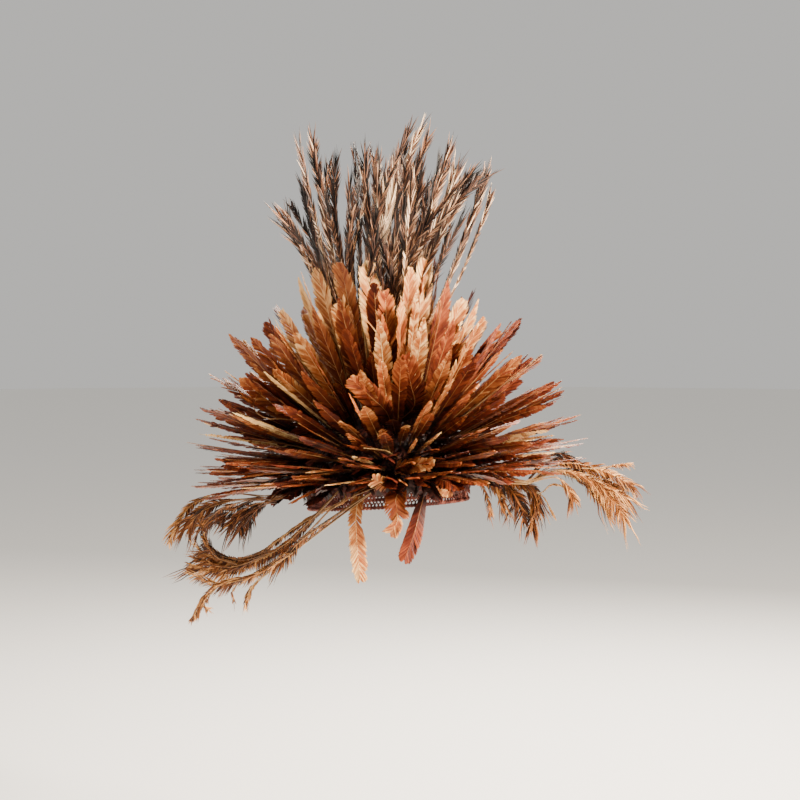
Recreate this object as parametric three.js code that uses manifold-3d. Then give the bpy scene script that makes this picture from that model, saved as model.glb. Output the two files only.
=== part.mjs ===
// A feathered headdress, as it sits on a head.
// A netted skullcap of looped cord carries eight rings of feathers, one above the other, each tied along
// a cord of its own. A bundle of long plumes stands on the crown, six soft plumes droop past the lowest
// ring, and a few loose feathers hang over the rim.
// Millimetres, +Z up. The origin is the centre of the cap's rim, and the wearer looks along -Y.
import * as THREE from "three";
import { mergeVertices } from "three/addons/utils/BufferGeometryUtils.js";
import Module from "manifold-3d";

const wasm = await Module();
wasm.setup();

// The cap, outside: half its breadth, half its length from brow to nape, and its height over the rim.
const CAP_HALF_BREADTH = 76;
const CAP_HALF_LENGTH = 88;
const CAP_HEIGHT = 102;
const CAP_WALL = 3;
const CAP_SQUARENESS = 2.3; // 2 is an ellipsoid, more has straighter sides and a flatter crown
const CAP_SIDES = 32;
const CAP_COURSES = 7;
const CAP_TIP = 5.5; // degrees that the cap is tipped back, brow up
const STRETCH = CAP_HALF_LENGTH / CAP_HALF_BREADTH;

// The open loops of the net, which show above the rim.
const LOOPS_PER_SIDE = 3;
const LOOP_GAP = 2.4;
const LOOP_FOOT = 4;
const LOOP_TALL = 14;
const LOOP_DEPTH = 6 * CAP_WALL; // of the cut, right through the wall

const SEAT_GAP = 0.3; // between a piece and what carries it
const CORD_RADIUS = 1.5;
const QUILL_HALF = 0.8; // half the thickness of a quill where it is tied
const VANE_HALF = 0.6; // half the thickness of a vane at its ridge

// The rings of feathers, from the rim up. height: of the ring on the cap. count: feathers in the ring.
// length and halfWidth: of a feather. rise: degrees above level. stray: how far a feather leaves that
// rise, in degrees. bend: degrees that a feather curves upwards over its length. roll: the most that a vane
// turns about its shaft, in degrees.
const RINGS = [
  { height: 29, count: 29, length: 118, halfWidth: 7.0, rise: 3, stray: 1.2, bend: -2, roll: 12 },
  { height: 38, count: 28, length: 121, halfWidth: 7.0, rise: 7, stray: 1.8, bend: -3, roll: 12 },
  { height: 48, count: 28, length: 126, halfWidth: 7.5, rise: 13, stray: 2.2, bend: -2, roll: 16 },
  { height: 59, count: 26, length: 128, halfWidth: 8.0, rise: 23, stray: 3.0, bend: -1, roll: 28 },
  { height: 70, count: 24, length: 130, halfWidth: 8.5, rise: 35, stray: 3.5, bend: 0, roll: 36 },
  { height: 80, count: 22, length: 134, halfWidth: 9.0, rise: 48, stray: 3.5, bend: 1, roll: 36 },
  { height: 89, count: 18, length: 136, halfWidth: 10.0, rise: 62, stray: 3.0, bend: 2, roll: 30 },
  { height: 96, count: 14, length: 147, halfWidth: 11.5, rise: 75, stray: 2.0, bend: 1, roll: 24 },
];
const LENGTH_STRAY = 0.07; // share by which a feather's length differs from its ring's
const BEARING_STRAY = 0.22; // share of the spacing by which a feather leaves its place

// A vane's half width along its length, as a share of the widest.
const VANE_OUTLINE = [
  { along: 0.3, width: 0.75 },
  { along: 0.72, width: 1.0 },
];
const PLUME_OUTLINE = [
  { along: 0.35, width: 0.45 },
  { along: 0.65, width: 0.8 },
  { along: 0.9, width: 1.0 },
];

// The long plumes on the crown, in the upright plane that faces NEAR_BEARING. root, middle and tip: how far
// right of the axis the shaft is. near: the tip's distance towards that bearing. up: the tip's height over
// the rim.
const NEAR_BEARING = -140;
const PLUMES = [
  { root: -12, middle: -54, tip: -77, near: 18, up: 380, halfWidth: 6 },
  { root: -10, middle: -60, tip: -109, near: 30, up: 313, halfWidth: 6 },
  { root: -9, middle: -47, tip: -56, near: -22, up: 368, halfWidth: 9 },
  { root: -13, middle: -56, tip: -92, near: -30, up: 337, halfWidth: 6 },
  { root: -8, middle: -36, tip: -39, near: 48, up: 317, halfWidth: 5 },
  { root: -5, middle: -21, tip: -25, near: -62, up: 378, halfWidth: 8 },
  { root: -3, middle: -11, tip: -11, near: -25, up: 368, halfWidth: 8 },
  { root: 0, middle: -4, tip: 8, near: -72, up: 370, halfWidth: 8 },
  { root: -2, middle: -7, tip: 37, near: 22, up: 396, halfWidth: 7 },
  { root: 3, middle: 14, tip: 38, near: -45, up: 360, halfWidth: 7 },
  { root: 6, middle: 27, tip: 64, near: -25, up: 371, halfWidth: 5 },
  { root: 8, middle: 38, tip: 75, near: 20, up: 355, halfWidth: 6 },
  { root: 2, middle: 7, tip: 94, near: 45, up: 349, halfWidth: 8 },
  { root: 12, middle: 62, tip: 103, near: -8, up: 344, halfWidth: 4 },
  { root: 7, middle: 24, tip: 72, near: 36, up: 322, halfWidth: 8 },
  { root: -3, middle: -11, tip: -16, near: 66, up: 311, halfWidth: 9 },
  { root: 1, middle: 9, tip: 20, near: 62, up: 362, halfWidth: 8 },
  { root: 4, middle: 20, tip: 46, near: -78, up: 340, halfWidth: 8 },
];
const KNOT_RADIUS = 18;
const KNOT_HEIGHT = 17;
const ROOT_SHARE = 0.15; // a root's distance towards the near side, as a share of its tip's
const PLUME_ROLL = 40;

// The soft plumes that droop past the lowest ring, each tied to the cap at a bearing and a height. Its marks
// are set out as the crown's plumes are. across: to the right of the axis. deep and thick: half sizes of
// the lock, upright and level.
const DROOPING_PLUMES = [
  {
    bearing: 130,
    height: 24,
    marks: [
      { across: -120, near: 2, up: 9, deep: 2, thick: 2 },
      { across: -150, near: 4, up: 6, deep: 6, thick: 4 },
      { across: -178, near: 6, up: -2, deep: 11, thick: 5 },
      { across: -203, near: 6, up: -11, deep: 10, thick: 4 },
      { across: -217, near: 5, up: -25, deep: 4, thick: 2 },
      { across: -227, near: 4, up: -44, deep: 1, thick: 0.8 },
    ],
  },
  {
    bearing: 150,
    height: 24,
    marks: [
      { across: -112, near: 32, up: 9, deep: 2, thick: 2 },
      { across: -132, near: 33, up: 3, deep: 7, thick: 4 },
      { across: -148, near: 33, up: -8, deep: 11, thick: 5 },
      { across: -157, near: 32, up: -20, deep: 8, thick: 4 },
      { across: -162, near: 31, up: -31, deep: 1, thick: 0.8 },
    ],
  },
  {
    bearing: 184,
    height: 24,
    marks: [
      { across: -78, near: 70, up: -12, deep: 2, thick: 2 },
      { across: -104, near: 70, up: -36, deep: 3, thick: 3 },
      { across: -130, near: 67, up: -51, deep: 6, thick: 4 },
      { across: -152, near: 63, up: -57, deep: 10, thick: 5 },
      { across: -176, near: 57, up: -56, deep: 14, thick: 7 },
      { across: -193, near: 53, up: -46, deep: 11, thick: 5 },
      { across: -191, near: 50, up: -24, deep: 2, thick: 2 },
    ],
  },
  {
    bearing: 210,
    height: 24,
    marks: [
      { across: -49, near: 94, up: 10, deep: 1.5, thick: 1.5 },
      { across: -90, near: 93, up: -33, deep: 3, thick: 3 },
      { across: -112, near: 91, up: -52, deep: 9, thick: 5 },
      { across: -140, near: 87, up: -66, deep: 8, thick: 5 },
      { across: -168, near: 81, up: -76, deep: 4, thick: 3 },
      { across: -184, near: 76, up: -90, deep: 2.5, thick: 2 },
      { across: -196, near: 72, up: -109, deep: 1, thick: 0.8 },
    ],
  },
  {
    bearing: -50,
    height: 24,
    marks: [
      { across: 98, near: 2, up: 22, deep: 7, thick: 3 },
      { across: 122, near: 3, up: 12, deep: 14, thick: 6 },
      { across: 146, near: 3, up: 4, deep: 16, thick: 6 },
      { across: 154, near: 2, up: -14, deep: 10, thick: 4 },
      { across: 151, near: 1, up: -34, deep: 1, thick: 0.8 },
    ],
  },
  {
    bearing: -70,
    height: 24,
    marks: [
      { across: 140, near: 30, up: 25, deep: 2, thick: 1.6 },
      { across: 176, near: 30, up: 30, deep: 6, thick: 4 },
      { across: 202, near: 28, up: 28, deep: 13, thick: 6 },
      { across: 222, near: 26, up: 18, deep: 19, thick: 6 },
      { across: 240, near: 24, up: 0, deep: 16, thick: 4 },
      { across: 252, near: 23, up: -16, deep: 2, thick: 1 },
    ],
  },
];
const PLUME_STEPS = 8;
const PLUME_SIDES = 6;
const TIE_HALF = 1.2; // half the thickness of a quill where it is tied to the cap

// Loose feathers that hang over the rim. fall: degrees below level. turn: degrees that the fall turns
// round the cap, away from straight out.
const HANGING_FEATHERS = [
  { bearing: -163, height: 24, fall: 70, bend: -18, turn: 0, length: 82, halfWidth: 8 },
  { bearing: -117, height: 24, fall: 62, bend: -24, turn: -55, length: 78, halfWidth: 8 },
  { bearing: -136, height: 24, fall: 55, bend: -32, turn: 30, length: 48, halfWidth: 10 },
  { bearing: -93, height: 24, fall: 22, bend: -20, turn: -68, length: 44, halfWidth: 7 },
];
const HANGING_ROLL = 20;
const HANGING_SEAT = 0.6; // from the cap's true curve, which its flat faces lie inside, to a quill's middle

const radians = THREE.MathUtils.degToRad;

// A number from -1 to 1 that looks random, the same for the same pair.
function stray(item, use) {
  const wave = Math.sin(item * 12.9898 + use * 78.233) * 43758.5453;
  return 2 * (wave - Math.floor(wave)) - 1;
}

// The cap's half breadth at a height over its rim.
function capRadius(height) {
  const share = Math.pow(height / CAP_HEIGHT, CAP_SQUARENESS);
  return CAP_HALF_BREADTH * Math.pow(1 - share, 1 / CAP_SQUARENESS);
}

// The outward direction of the cap's profile at a height, as x out and y up.
function capNormal(height) {
  const step = 0.1;
  const slope = (capRadius(height + step) - capRadius(height - step)) / (2 * step);
  return new THREE.Vector2(1, -slope).normalize();
}

// A direction with a bearing round from +X and a rise over level, in degrees.
function direction(bearing, rise) {
  const level = Math.cos(radians(rise));
  return new THREE.Vector3(
    level * Math.cos(radians(bearing)),
    level * Math.sin(radians(bearing)),
    Math.sin(radians(rise)),
  );
}

// Turns a point or a shape of the upright cap to where the tipped cap has it.
function tipped(thing) {
  return thing.applyMatrix4(new THREE.Matrix4().makeRotationX(-radians(CAP_TIP)));
}

// The point of the upright cap that faces a bearing at a height, moved out from its wall.
function onCap(bearing, height, out) {
  const normal = capNormal(height);
  const radius = capRadius(height) + normal.x * out;
  const along = Math.atan2(Math.sin(radians(bearing)) * STRETCH, Math.cos(radians(bearing)));
  return new THREE.Vector3(
    radius * Math.cos(along),
    radius * STRETCH * Math.sin(along),
    height + normal.y * out,
  );
}

function solidOf(geometry) {
  const plain = geometry.clone();
  plain.deleteAttribute("normal");
  plain.deleteAttribute("uv");
  const merged = mergeVertices(plain, 1e-4);
  return new wasm.Manifold(
    new wasm.Mesh({
      numProp: 3,
      vertProperties: merged.attributes.position.array,
      triVerts: new Uint32Array(merged.index.array),
    }),
  );
}

function geometryOf(solid) {
  const made = solid.getMesh();
  const geometry = new THREE.BufferGeometry();
  geometry.setAttribute("position", new THREE.BufferAttribute(new Float32Array(made.vertProperties), 3));
  geometry.setIndex(new THREE.BufferAttribute(new Uint32Array(made.triVerts), 1));
  geometry.computeVertexNormals();
  return geometry;
}

function joined(geometries) {
  return geometryOf(geometries.map(solidOf).reduce((all, one) => all.add(one)));
}

// A closed skin over rings of points, each ring with the same count, ending in a tip point.
function skinned(rings, tip) {
  const sides = rings[0].length;
  const points = [...rings.flat(), tip];
  const faces = [];
  for (let i = 1; i + 1 < sides; i++) {
    faces.push(0, i + 1, i);
  }
  for (let r = 0; r + 1 < rings.length; r++) {
    for (let i = 0; i < sides; i++) {
      const a = r * sides + i;
      const b = r * sides + ((i + 1) % sides);
      faces.push(a, b, b + sides, a, b + sides, a + sides);
    }
  }
  const last = (rings.length - 1) * sides;
  for (let i = 0; i < sides; i++) {
    faces.push(last + i, last + ((i + 1) % sides), points.length - 1);
  }
  const geometry = new THREE.BufferGeometry().setFromPoints(points);
  geometry.setIndex(faces);
  return geometry;
}

// The point that lies across, near and up, as the plumes' tables give it.
function facingPoint(across, near, up) {
  return new THREE.Vector3(0, 0, up)
    .addScaledVector(direction(NEAR_BEARING + 90, 0), across)
    .addScaledVector(direction(NEAR_BEARING, 0), near);
}

// The shaft of a feather that leaves its root at a rise and is bent by some more at its tip.
function bentShaft({ root, bearing, rise, bend, length }) {
  const middle = root.clone().addScaledVector(direction(bearing, rise), length / 2);
  const tip = middle.clone().addScaledVector(direction(bearing, rise + bend), length / 2);
  return new THREE.QuadraticBezierCurve3(root, middle, tip);
}

// A feather along its shaft: a flat vane with a ridge, on a bare quill. roll turns the vane about the shaft.
// sideways: about which way the vane spreads before that, or left out for a level one.
function feather(shaft, { halfWidth, roll, outline, sideways }) {
  const rings = [{ along: 0, width: 0 }, ...outline].map((mark, i) => {
    const point = shaft.getPoint(mark.along);
    const along = shaft.getTangent(mark.along);
    const spread = sideways ? sideways.clone().projectOnPlane(along) : new THREE.Vector3(0, 0, 1).cross(along);
    const side = spread.normalize().applyAxisAngle(along, radians(roll));
    const face = new THREE.Vector3().crossVectors(along, side);
    const half = Math.max(mark.width * halfWidth, QUILL_HALF);
    const ridge = i ? VANE_HALF : QUILL_HALF;
    return [
      point.clone().addScaledVector(side, half).addScaledVector(face, -ridge / 2),
      point.clone().addScaledVector(face, ridge),
      point.clone().addScaledVector(side, -half).addScaledVector(face, -ridge / 2),
    ];
  });
  return skinned(rings, shaft.getPoint(1));
}

// The cap: its wall as a lathe stretched from brow to nape, with the loops of the net cut through it.
function nettedCap() {
  const profile = (halfBreadth, height) =>
    Array.from({ length: CAP_COURSES + 1 }, (_, i) => {
      const turn = (Math.PI / 2) * (i / CAP_COURSES);
      return new THREE.Vector2(
        i === CAP_COURSES ? 0 : halfBreadth * Math.pow(Math.cos(turn), 2 / CAP_SQUARENESS),
        height * Math.pow(Math.sin(turn), 2 / CAP_SQUARENESS),
      );
    });
  const outer = profile(CAP_HALF_BREADTH, CAP_HEIGHT);
  const inner = profile(CAP_HALF_BREADTH - CAP_WALL, CAP_HEIGHT - CAP_WALL);
  const wall = new THREE.LatheGeometry([...inner.reverse(), ...outer], CAP_SIDES);
  wall.rotateX(Math.PI / 2).scale(1, STRETCH, 1);
  const loops = [];
  for (let side = 0; side < CAP_SIDES; side++) {
    for (let i = 0; i < LOOPS_PER_SIDE; i++) {
      const share = (side + (i + 0.5) / LOOPS_PER_SIDE) / CAP_SIDES;
      const turn = 2 * Math.PI * share;
      const loop = new THREE.BoxGeometry(LOOP_GAP, LOOP_DEPTH, LOOP_TALL);
      loop.rotateZ(turn - Math.PI / 2);
      loop.translate(
        CAP_HALF_BREADTH * Math.cos(turn),
        CAP_HALF_LENGTH * Math.sin(turn),
        LOOP_FOOT + LOOP_TALL / 2,
      );
      loops.push(solidOf(loop));
    }
  }
  const cut = loops.reduce((left, loop) => left.subtract(loop), solidOf(wall));
  return tipped(geometryOf(cut));
}

// The cord that a ring of feathers is tied along, lying on the cap.
function ringCord(height) {
  const normal = capNormal(height);
  const middle = new THREE.Vector2(capRadius(height), height).addScaledVector(normal, SEAT_GAP + CORD_RADIUS);
  const along = new THREE.Vector2(-normal.y, normal.x);
  const corner = (a, b) =>
    middle.clone().addScaledVector(normal, a * CORD_RADIUS).addScaledVector(along, b * CORD_RADIUS);
  const section = [corner(-1, -1), corner(1, -1), corner(1, 1), corner(-1, 1), corner(-1, -1)];
  const cord = new THREE.LatheGeometry(section, CAP_SIDES);
  return cord.rotateX(Math.PI / 2).scale(1, STRETCH, 1);
}

function featherRing(ring, index) {
  const feathers = Array.from({ length: ring.count }, (_, i) => {
    const item = 100 * (index + 1) + i;
    const spacing = 360 / ring.count;
    const bearing = spacing * (i + BEARING_STRAY * stray(item, 1) + (index % 2) / 2);
    const shaft = bentShaft({
      root: onCap(bearing, ring.height, SEAT_GAP + CORD_RADIUS),
      bearing,
      rise: ring.rise + ring.stray * stray(item, 2),
      bend: ring.bend,
      length: ring.length * (1 + LENGTH_STRAY * stray(item, 3)),
    });
    const roll = ring.roll * stray(item, 4);
    return feather(shaft, { halfWidth: ring.halfWidth, roll, outline: VANE_OUTLINE });
  });
  return tipped(joined([ringCord(ring.height), ...feathers]));
}

// The crown's bundle: a wrapped knot with the long plumes standing in it.
function crownPlume() {
  const foot = CAP_HEIGHT + SEAT_GAP;
  const profile = [
    new THREE.Vector2(0, foot),
    new THREE.Vector2(KNOT_RADIUS, foot),
    new THREE.Vector2(KNOT_RADIUS, foot + KNOT_HEIGHT / 2),
    new THREE.Vector2(KNOT_RADIUS * 0.8, foot + KNOT_HEIGHT),
    new THREE.Vector2(0, foot + KNOT_HEIGHT),
  ];
  const knot = tipped(new THREE.LatheGeometry(profile, 12).rotateX(Math.PI / 2));
  const plumes = PLUMES.map((plume, i) => {
    const rootUp = foot + KNOT_HEIGHT / 2;
    const root = tipped(facingPoint(plume.root, plume.near * ROOT_SHARE, rootUp));
    const middle = facingPoint(plume.middle, plume.near / 2, (rootUp + plume.up) / 2);
    const tip = facingPoint(plume.tip, plume.near, plume.up);
    const pull = middle.clone().multiplyScalar(2).addScaledVector(root, -0.5).addScaledVector(tip, -0.5);
    const shaft = new THREE.QuadraticBezierCurve3(root, pull, tip);
    const roll = PLUME_ROLL * stray(900 + i, 4);
    const sideways = direction(NEAR_BEARING - 90, 0);
    return feather(shaft, { halfWidth: plume.halfWidth, roll, outline: PLUME_OUTLINE, sideways });
  });
  return joined([knot, ...plumes]);
}

// Where a drooping plume's middle starts, so that the corners of its slanting end meet the cap's true curve.
// The cap's flat faces lie inside that curve, which leaves the gap.
function tiePoint(bearing, height, next) {
  const foot = tipped(onCap(bearing, height, 0));
  const outward = tipped(onCap(bearing, height, 1)).sub(foot);
  const slant = Math.sin(outward.angleTo(next.clone().sub(foot)));
  return foot.addScaledVector(outward, TIE_HALF * slant);
}

// A drooping plume: a soft lock from its tie on the cap through its marks, deep where its barbs hang.
function droopingPlume({ bearing, height, marks }) {
  const up = new THREE.Vector3(0, 0, 1);
  const points = marks.map((mark) => facingPoint(mark.across, mark.near, mark.up));
  const path = new THREE.CatmullRomCurve3([tiePoint(bearing, height, points[0]), ...points]);
  const sizes = [{ deep: TIE_HALF, thick: TIE_HALF }, ...marks];
  const sizeAt = (share, key) => {
    const at = share * marks.length;
    const i = Math.min(Math.floor(at), marks.length - 1);
    return THREE.MathUtils.lerp(sizes[i][key], sizes[i + 1][key], at - i);
  };
  const rings = Array.from({ length: PLUME_STEPS }, (_, step) => {
    const share = step / PLUME_STEPS;
    const middle = path.getPoint(share);
    const along = path.getTangent(share);
    const side = new THREE.Vector3().crossVectors(along, up).normalize();
    const over = new THREE.Vector3().crossVectors(side, along);
    return Array.from({ length: PLUME_SIDES }, (_, i) => {
      const turn = (2 * Math.PI * i) / PLUME_SIDES;
      return middle
        .clone()
        .addScaledVector(over, Math.cos(turn) * sizeAt(share, "deep"))
        .addScaledVector(side, Math.sin(turn) * sizeAt(share, "thick"));
    });
  });
  return skinned(rings, path.getPoint(1));
}

function hangingFeather(row, i) {
  const shaft = bentShaft({
    root: tipped(onCap(row.bearing, row.height, HANGING_SEAT)),
    bearing: row.bearing + row.turn,
    rise: -row.fall,
    bend: row.bend,
    length: row.length,
  });
  const roll = HANGING_ROLL * stray(950 + i, 4);
  return feather(shaft, { halfWidth: row.halfWidth, roll, outline: VANE_OUTLINE });
}

const CORD_BROWN = new THREE.MeshStandardMaterial({ color: 0x5a2a1c, roughness: 0.9, metalness: 0 });
const RUST = new THREE.MeshStandardMaterial({ color: 0x9a4f22, roughness: 0.6, metalness: 0 });
const DARK_PLUME = new THREE.MeshStandardMaterial({ color: 0x4b3426, roughness: 0.6, metalness: 0 });
const TAN_DOWN = new THREE.MeshStandardMaterial({ color: 0x8a6238, roughness: 0.8, metalness: 0 });

const headdress = new THREE.Group();

function place(name, geometry, material) {
  const mesh = new THREE.Mesh(geometry, material);
  mesh.name = name;
  headdress.add(mesh);
}

place("netted_cap", nettedCap(), CORD_BROWN);
RINGS.forEach((ring, i) => place(`feather_ring_${i + 1}`, featherRing(ring, i), RUST));
place("crown_plume", crownPlume(), DARK_PLUME);
DROOPING_PLUMES.forEach((marks, i) => place(`drooping_plume_${i + 1}`, droopingPlume(marks), TAN_DOWN));
HANGING_FEATHERS.forEach((row, i) => place(`hanging_feather_${i + 1}`, hangingFeather(row, i), RUST));

export default headdress;
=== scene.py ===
# %% [markdown]
# # A feathered headdress
# A netted cap carries eight rings of rust-brown feathers, a knot of long plumes stands on its crown, and soft
# plumes droop past the lowest ring. This lesson loads the solid model first, because each Blender piece is
# built on the places and sizes that it fixed. Everything is in metres, with the cap's brow towards -Y.

import math

import bpy
import numpy as np
from mathutils import Matrix, Quaternion, Vector


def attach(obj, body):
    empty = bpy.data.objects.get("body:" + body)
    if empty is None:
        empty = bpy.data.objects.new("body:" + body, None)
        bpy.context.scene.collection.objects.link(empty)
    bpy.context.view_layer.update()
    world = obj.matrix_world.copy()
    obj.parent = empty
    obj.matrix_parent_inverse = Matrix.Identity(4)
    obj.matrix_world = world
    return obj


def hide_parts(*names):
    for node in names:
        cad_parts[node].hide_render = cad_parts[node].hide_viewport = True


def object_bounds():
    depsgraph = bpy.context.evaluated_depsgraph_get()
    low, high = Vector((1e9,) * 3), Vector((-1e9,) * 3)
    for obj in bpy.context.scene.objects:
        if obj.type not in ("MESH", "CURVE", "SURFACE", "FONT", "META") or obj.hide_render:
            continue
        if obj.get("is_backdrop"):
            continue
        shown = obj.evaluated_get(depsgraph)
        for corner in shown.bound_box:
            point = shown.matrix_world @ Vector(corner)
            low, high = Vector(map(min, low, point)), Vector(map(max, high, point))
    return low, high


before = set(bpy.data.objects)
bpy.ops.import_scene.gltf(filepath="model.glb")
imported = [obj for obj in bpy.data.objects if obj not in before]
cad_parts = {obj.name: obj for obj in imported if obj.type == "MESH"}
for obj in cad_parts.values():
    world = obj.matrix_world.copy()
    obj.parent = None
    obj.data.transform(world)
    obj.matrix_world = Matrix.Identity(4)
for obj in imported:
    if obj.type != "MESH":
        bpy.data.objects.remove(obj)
cad_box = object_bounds()
print("solids:", len(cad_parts), "box:", [tuple(round(x, 3) for x in corner) for corner in cad_box])

# %% [markdown]
# ## The camera
# The photograph was taken from the brow's side and round towards -X, a little above the rim, with a long lens
# that keeps the near and far feathers almost the same size. A little over two metres and a 97 mm lens give
# that look. The aim point is set out to the right of the cap's axis and up from its rim, as in the tables
# below.

# %% Place the camera
MM = 0.001
CAMERA_AZIMUTH = -50
CAMERA_ELEVATION = 3.8
CAMERA_DISTANCE = 2.2
CAMERA_LENS = 97
CAMERA_AIM = (12.2, 0, 107)  # across, near and up, in mm
NEAR_BEARING = -140  # degrees from +X, the side of the cap that faces the camera


def direction(bearing, rise):
    """A unit vector with a bearing round from +X and a rise over level, in degrees."""
    b, r = math.radians(bearing), math.radians(rise)
    return Vector((math.cos(r) * math.cos(b), math.cos(r) * math.sin(b), math.sin(r)))


def facing_point(across, near, up):
    """A point to the right of the axis, towards the near side and up from the rim, all in millimetres."""
    level = direction(NEAR_BEARING + 90, 0) * across + direction(NEAR_BEARING, 0) * near
    return (level + Vector((0, 0, up))) * MM


def in_scene(name, data):
    """A new object for a camera, a lamp or a mesh, linked to the scene."""
    made = bpy.data.objects.new(name, data)
    bpy.context.scene.collection.objects.link(made)
    return made


azimuth, elevation = math.radians(CAMERA_AZIMUTH), math.radians(CAMERA_ELEVATION)
back = Vector((
    math.sin(azimuth) * math.cos(elevation),
    -math.cos(azimuth) * math.cos(elevation),
    math.sin(elevation),
))
camera_data = bpy.data.cameras.new("camera")
camera_data.lens = CAMERA_LENS
camera_data.sensor_width = 36
camera = in_scene("camera", camera_data)
camera.location = facing_point(*CAMERA_AIM) + back * CAMERA_DISTANCE
camera.rotation_mode = "QUATERNION"
camera.rotation_quaternion = (-back).to_track_quat("-Z", "Y")
bpy.context.scene.camera = camera

# %% [markdown]
# ## Small helpers
# A node tree is easier to read when each node is one call. The helper below adds a node, sets it up and links
# its inputs. A link can name another node, which stands for that node's first output. Colours are written as
# a painter's hex values, and one function turns them into the linear light that Blender works in. A last
# helper makes a mesh and stores numbers on its points, which the node trees read.

# %% Nodes, colours and meshes


def add(tree, kind, inputs=None, **settings):
    """Adds a node with its settings. inputs maps a socket's name or number to a value, a node or a socket."""
    node = tree.nodes.new(kind)
    for key, value in settings.items():
        setattr(node, key, value)
    for key, value in (inputs or {}).items():
        if isinstance(value, bpy.types.Node):
            value = value.outputs[0]
        if isinstance(value, bpy.types.NodeSocket):
            tree.links.new(value, node.inputs[key])
        else:
            node.inputs[key].default_value = value
    return node


def linear(colour):
    """An sRGB hex colour as linear red, green, blue and alpha."""
    parts = [int(colour[i:i + 2], 16) / 255 for i in (1, 3, 5)]
    return [c / 12.92 if c <= 0.04045 else ((c + 0.055) / 1.055) ** 2.4 for c in parts] + [1.0]


def new_mesh(name, points, edges=(), faces=(), **attributes):
    """A mesh with numbers or vectors stored on its points."""
    mesh = bpy.data.meshes.new(name)
    mesh.from_pydata(points, edges, faces)
    for key, values in attributes.items():
        if isinstance(values[0], Vector):
            vectors = mesh.attributes.new(key, "FLOAT_VECTOR", "POINT")
            vectors.data.foreach_set("vector", [x for v in values for x in v])
        else:
            mesh.attributes.new(key, "FLOAT", "POINT").data.foreach_set("value", values)
    return mesh


# %% [markdown]
# ## The cap's shape
# Feathers are tied round a skullcap, so each one starts on its surface. The cap is a squarish dome, longer
# from brow to nape than across, and tipped back a little. These few functions repeat that shape, and `stray`
# gives the same scattered numbers on each run, so that nothing depends on luck.

# %% Points on the cap
CAP_HALF_BREADTH = 76
CAP_HALF_LENGTH = 88
CAP_HEIGHT = 102
CAP_SQUARENESS = 2.3  # 2 is a round dome, and more is squarer
CAP_TIP = 5.5  # degrees, with the brow up
STRETCH = CAP_HALF_LENGTH / CAP_HALF_BREADTH
SEAT_GAP = 0.3  # between the cap and a cord
CORD_RADIUS = 1.5
TIP_TURN = Matrix.Rotation(-math.radians(CAP_TIP), 3, "X")


def stray(item, use):
    """A number from -1 to 1 that looks random, the same for the same pair."""
    wave = math.sin(item * 12.9898 + use * 78.233) * 43758.5453
    return 2 * (wave - math.floor(wave)) - 1


def cap_radius(height):
    share = (max(height, 0) / CAP_HEIGHT) ** CAP_SQUARENESS
    return CAP_HALF_BREADTH * max(1 - share, 0) ** (1 / CAP_SQUARENESS)


def cap_normal(height):
    """The outward direction of the cap's profile at a height, as out and up."""
    slope = (cap_radius(height + 0.1) - cap_radius(height - 0.1)) / 0.2
    return Vector((1, -slope)).normalized()


def on_cap(bearing, height, out):
    """The point of the tipped cap that faces a bearing at a height, moved out from its wall, in metres."""
    normal = cap_normal(height)
    radius = cap_radius(height) + normal.x * out
    b = math.radians(bearing)
    along = math.atan2(math.sin(b) * STRETCH, math.cos(b))
    point = (radius * math.cos(along), radius * STRETCH * math.sin(along), height + normal.y * out)
    return TIP_TURN @ Vector(point) * MM


print("rim half breadth:", cap_radius(0), "mm; brow at", [round(x, 3) for x in on_cap(-90, 0, 0)])

# %% [markdown]
# ## What a feather is made of
# A real feather is a tapering shaft with a row of barbs down each side. The barbs lie against each other as a
# vane, part in clumps where it is worn, and curve towards the tip. One flat plate could give the outline, but
# not the splits and frayed edges that the photograph shows, so each barb is a small blade of its own. A blade
# is a closed wedge with a low ridge, because it is repeated many thousands of times. A vane's barb is flat
# and keeps its width, and the barbs of plumes and down are rounder and thin out. The `across` attribute runs
# from 0 at the shaft to 1 at the barb's end, and the bending and the colours read it later.

# %% The three kinds of barb


def tube_faces(rings, sides):
    """The faces between rings of points, where each ring has as many points as there are sides."""
    faces = []
    for k in range(rings - 1):
        for i in range(sides):
            a, b = sides * k + i, sides * k + (i + 1) % sides
            faces.append((a, b, b + sides, a + sides))
    return faces


def barb_blade(name, stations):
    """A closed blade, one unit long and wide, through stations of (along, half width, ridge height)."""
    points = [p for x, half, ridge in stations for p in ((x, half, 0), (x, 0, ridge), (x, -half, 0))]
    points.append((1, 0, 0))
    faces = [(2, 1, 0)] + tube_faces(len(stations), 3)
    last = 3 * (len(stations) - 1)
    faces += [(last + i, last + (i + 1) % 3, len(points) - 1) for i in range(3)]
    return bpy.data.objects.new(name, new_mesh(name, points, faces=faces, across=[p[0] for p in points]))


vane_blade = barb_blade("vane_blade", [(0, 0.45, 0.12), (0.82, 0.52, 0.09)])
plume_blade = barb_blade("plume_blade", [(0, 0.5, 0.5), (0.5, 0.42, 0.4)])
down_blade = barb_blade("down_blade", [(0, 0.5, 0.5), (0.35, 0.45, 0.45), (0.7, 0.32, 0.3)])
for blade in (vane_blade, plume_blade, down_blade):
    print("faces in a", blade.name + ":", len(blade.data.polygons))

# %% [markdown]
# ## The tree that grows feathers
# The tree takes shafts drawn as chains of edges. Each point of a chain carries its own numbers: which way the
# vane faces, how far its barbs reach, the angle they leave at, how thick the shaft is and its colour. A
# tapered tube follows each chain, and the tree sets a blade down each side at every step. Neighbouring
# blades share a random turn as a clump, which parts the vane in splits. The ends are then bent: on towards
# the tip as on any feather, down by their own weight where the barbs are soft, and in loose waves.

# %% Start a tree


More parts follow.
